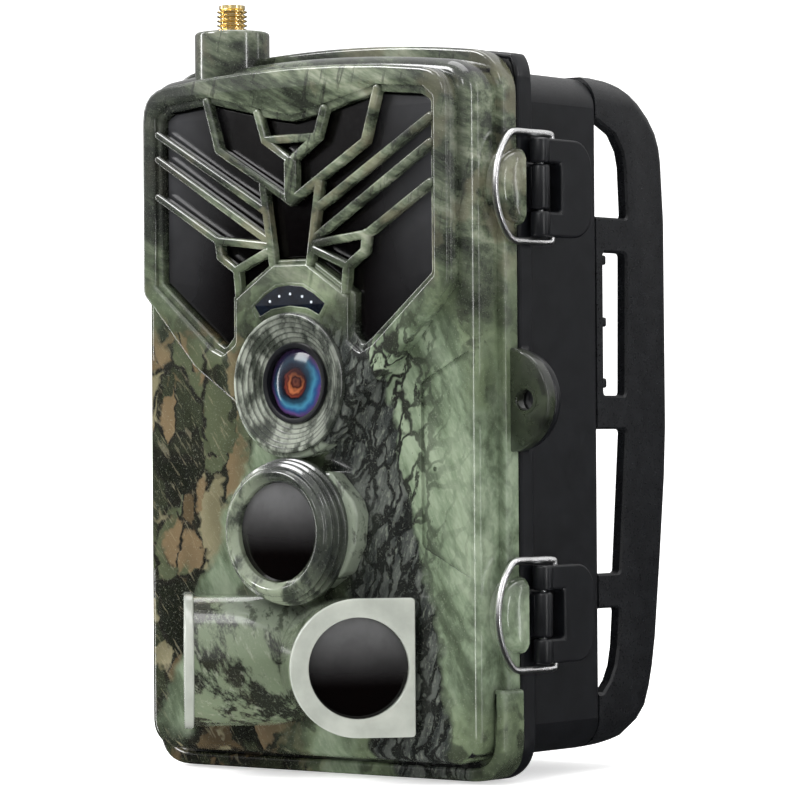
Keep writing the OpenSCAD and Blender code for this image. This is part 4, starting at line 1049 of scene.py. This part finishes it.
def grow(points, d):
    """A closed outline moved outwards by d."""
    pts = [Vector(p) for p in points]
    area = sum(a.x * b.y - b.x * a.y for a, b in zip(pts, pts[1:] + pts[:1]))
    turn = 1 if area > 0 else -1
    out = []
    for i, p in enumerate(pts):
        t = (pts[(i + 1) % len(pts)] - pts[i - 1]).normalized()
        out.append(tuple(p + Vector((t.y, -t.x)) * d * turn))
    return out


def flared(points, x_out, d):
    """Cutter for a window through both side walls, with a small flare at each face."""
    rings = [[(x, y, z) for y, z in (grow(points, g) if g else points)] for x, g in
             ((-x_out - d, 2 * d), (-x_out + d, 0), (x_out - d, 0), (x_out + d, 2 * d))]
    return loft(rings)


cutters += [flared(fillet(w, 1.0), HALF_W, 0.45) for w in SLOTS]
side_body = boolean(side_body, cutters)

# Three webs with a hollow arc for the tree, a seat on the case, and three ridges across the seat.
WEB_ARC, WEB_MID = 83.8, 36.0
hollow = arc(0, WEB_MID + WEB_ARC, WEB_ARC, -62, -118, 40)
web = [(-41, CASE_BACK), (41, CASE_BACK), (41, 45.6)] + hollow + [(-41, 45.6)]
extra = [plate([web], 3.0, 0.6, Matrix.Translation((0, 0, z))) for z in (111.05, 74.1, 37.0)]


def oblong(w, z0, z1):
    return [(-w, z0), (w, z0), (w, z1), (-w, z1)]


screws_at = [(s * 26, z) for s in (-1, 1) for z in (86.5, 99)]
seat = [oblong(41.8, 73.6, 111.4)] + [circle(x, z, 3.2, 32) for x, z in screws_at]
extra.append(front_plate(seat, CASE_BACK + 0.05, 33.6, 0.3))
for z in (79.2, 91.9, 104.8):
    extra.append(front_plate([fillet(oblong(41.4, z, z + 2.0), 0.5)], 33.3, 35.4, 0.4))
bracket = boolean(side_body, extra, "UNION")
piece("strap_bracket", bracket, bracket_black, ["tree_bracket"], 32, "rear_body")


def cross_screw(x, y, z, r, h, matrix):
    """Pan-head screw with a cross recess, head base at local height 0."""
    pan = [(0, -2.0), (r * 0.5, -2.0), (r * 0.5, 0), (r, 0), (r * 0.97, h * 0.45), (r * 0.72, h * 0.9),
           (r * 0.4, h), (0, h)]
    head = lathe(sharp_profile(pan, 0.12, 2), Matrix(), 40)
    arms = []
    for turn in (0, 90):
        arm = loft([[(u, v, level) for u, v in oblong(r * reach, -r * half, r * half)]
                    for reach, half, level in ((0.55, 0.12, h * 0.35), (0.605, 0.16, h * 1.2))])
        arms.append(placed(arm, Matrix.Rotation(math.radians(turn), 4, "Z")))
    return placed(boolean(head, arms), Matrix.Translation((x, y, z)) @ matrix)


piece("bracket_fixings", join(*[cross_screw(x, 32.6, z, 3.0, 1.6, BACK) for x, z in screws_at]), steel,
      ["bracket_screws"], body="rear_body")
posts = [(s * x, z) for s in (-1, 1) for x, z in ((12, 141.6), (37.8, 84), (37.6, 9.5))]
piece("cover_fixings", join(*[cross_screw(x, -2.2, z, 2.0, 0.7, BACK) for x, z in posts]), steel,
      ["cover_screws"])

# ---- stage, light, camera

# How the camera stands: the floor's sweep turns with it.
YAW, TILT, ROLL = math.radians(38.42), math.radians(0.55), math.radians(0.39)


def paper(name, glow):
    """White paper that glows, so that it comes out white."""
    s = Shader(name)
    s.surface(Base_Color=(0.90, 0.90, 0.90), Roughness=0.9)
    s.surface(Emission_Color=(1, 1, 1), Emission_Strength=glow)
    return s


SWEEP_R, SWEEP_Y = 0.9, 1.3
sweep = [(-3.0, 0.0), (SWEEP_Y, 0.0)] + arc(SWEEP_Y, SWEEP_R, SWEEP_R, -90, 0, 16)[1:]
sweep += [(SWEEP_Y + SWEEP_R, 3.0)]
bm = bmesh.new()
rows = [[bm.verts.new((x, y, z)) for x in (-4.0, 4.0)] for y, z in sweep]
for a, b in zip(rows, rows[1:]):
    face = bm.faces.new((a[0], a[1], b[1], b[0]))
    face.smooth = True
floor = to_object("floor", bm)
floor.rotation_euler = (0, 0, YAW)
floor.location = (0, 0, at(0, 0, 0).z - 0.0003)
sheet = paper("floor_paper", 0.55)
clouds = sheet.noise(sheet.place(), 0.02, 3)
sheet.surface(Base_Color=sheet.mix(clouds, (0.90, 0.90, 0.90), (0.93, 0.93, 0.93)))
floor.data.materials.append(sheet.mat)
floor.visible_glossy = False

# A white room far outside the lights, seen only by the camera.
bm = bmesh.new()
bmesh.ops.create_uvsphere(bm, u_segments=32, v_segments=16, radius=6.0)
room = to_object("room", bm)
room.data.materials.append(paper("room_paper", 1.0).mat)
for ray in ("visible_glossy", "visible_diffuse", "visible_shadow", "visible_transmission"):
    setattr(room, ray, False)


def softbox(name, centre, width, height, power):
    """Rectangular light that points at the middle of the object."""
    light = bpy.data.lights.new(name, "AREA")
    light.shape = "RECTANGLE"
    light.size, light.size_y = width, height
    light.energy = power
    ob = bpy.data.objects.new(name, light)
    ob.location = centre
    ob.rotation_mode = "QUATERNION"
    ob.rotation_quaternion = (at(0, 0, 78) - ob.location).to_track_quat("-Z", "Y")
    SCENE.objects.link(ob)


softbox("key_left", (-0.62, -0.92, 0.86), 0.50, 0.50, 11.0)
softbox("strip_right", (1.05, -0.12, 0.20), 0.06, 1.0, 2.2)
softbox("strip_back", (0.90, 0.70, 0.20), 0.04, 1.3, 0.8)
softbox("strip_left", (-1.15, -0.42, 0.25), 0.09, 1.2, 4.5)
softbox("top", (0.0, 0.10, 1.1), 0.9, 0.7, 5.5)
softbox("front", (0.45, -1.30, 0.75), 0.30, 0.30, 2.0)

world = bpy.data.worlds.new("studio")
bpy.context.scene.world = world
world.use_nodes = True
wt = world.node_tree
sky_dir = wt.nodes.new("ShaderNodeTexCoord")
sky_sep = wt.nodes.new("ShaderNodeSeparateXYZ")
sky_ramp = wt.nodes.new("ShaderNodeValToRGB")
wt.links.new(sky_dir.outputs["Generated"], sky_sep.inputs[0])
wt.links.new(sky_sep.outputs[2], sky_ramp.inputs[0])
wt.links.new(sky_ramp.outputs[0], wt.nodes["Background"].inputs[0])
# Brightness of the sky by height: dark at the horizon and below, white overhead.
SKY = ((0.0, 0.02), (0.2, 0.42), (1.0, 1.0))
sky_ramp.color_ramp.elements.new(0.5)
for element, (height, level) in zip(sky_ramp.color_ramp.elements, SKY):
    element.position = height
    element.color = (level, level, level, 1.0)

cam_data = bpy.data.cameras.new("camera")
cam_data.lens = 172.4
cam_data.sensor_width = 36.0
cam_data.clip_start, cam_data.clip_end = 0.05, 50.0
cam = bpy.data.objects.new("camera", cam_data)
forward = Vector((-math.sin(YAW) * math.cos(TILT), math.cos(YAW) * math.cos(TILT), math.sin(TILT)))
side = Vector((math.cos(YAW), math.sin(YAW), 0.0))
up = side.cross(forward)
up_r = up * math.cos(ROLL) + side * math.sin(ROLL)
side_r = side * math.cos(ROLL) - up * math.sin(ROLL)
rot = Matrix((side_r, up_r, -forward)).transposed().to_4x4()
rot.translation = at(503.4, -616.6, 69.3)
cam.matrix_world = rot
SCENE.objects.link(cam)
bpy.context.scene.camera = cam
bpy.context.scene.view_settings.view_transform = "Standard"
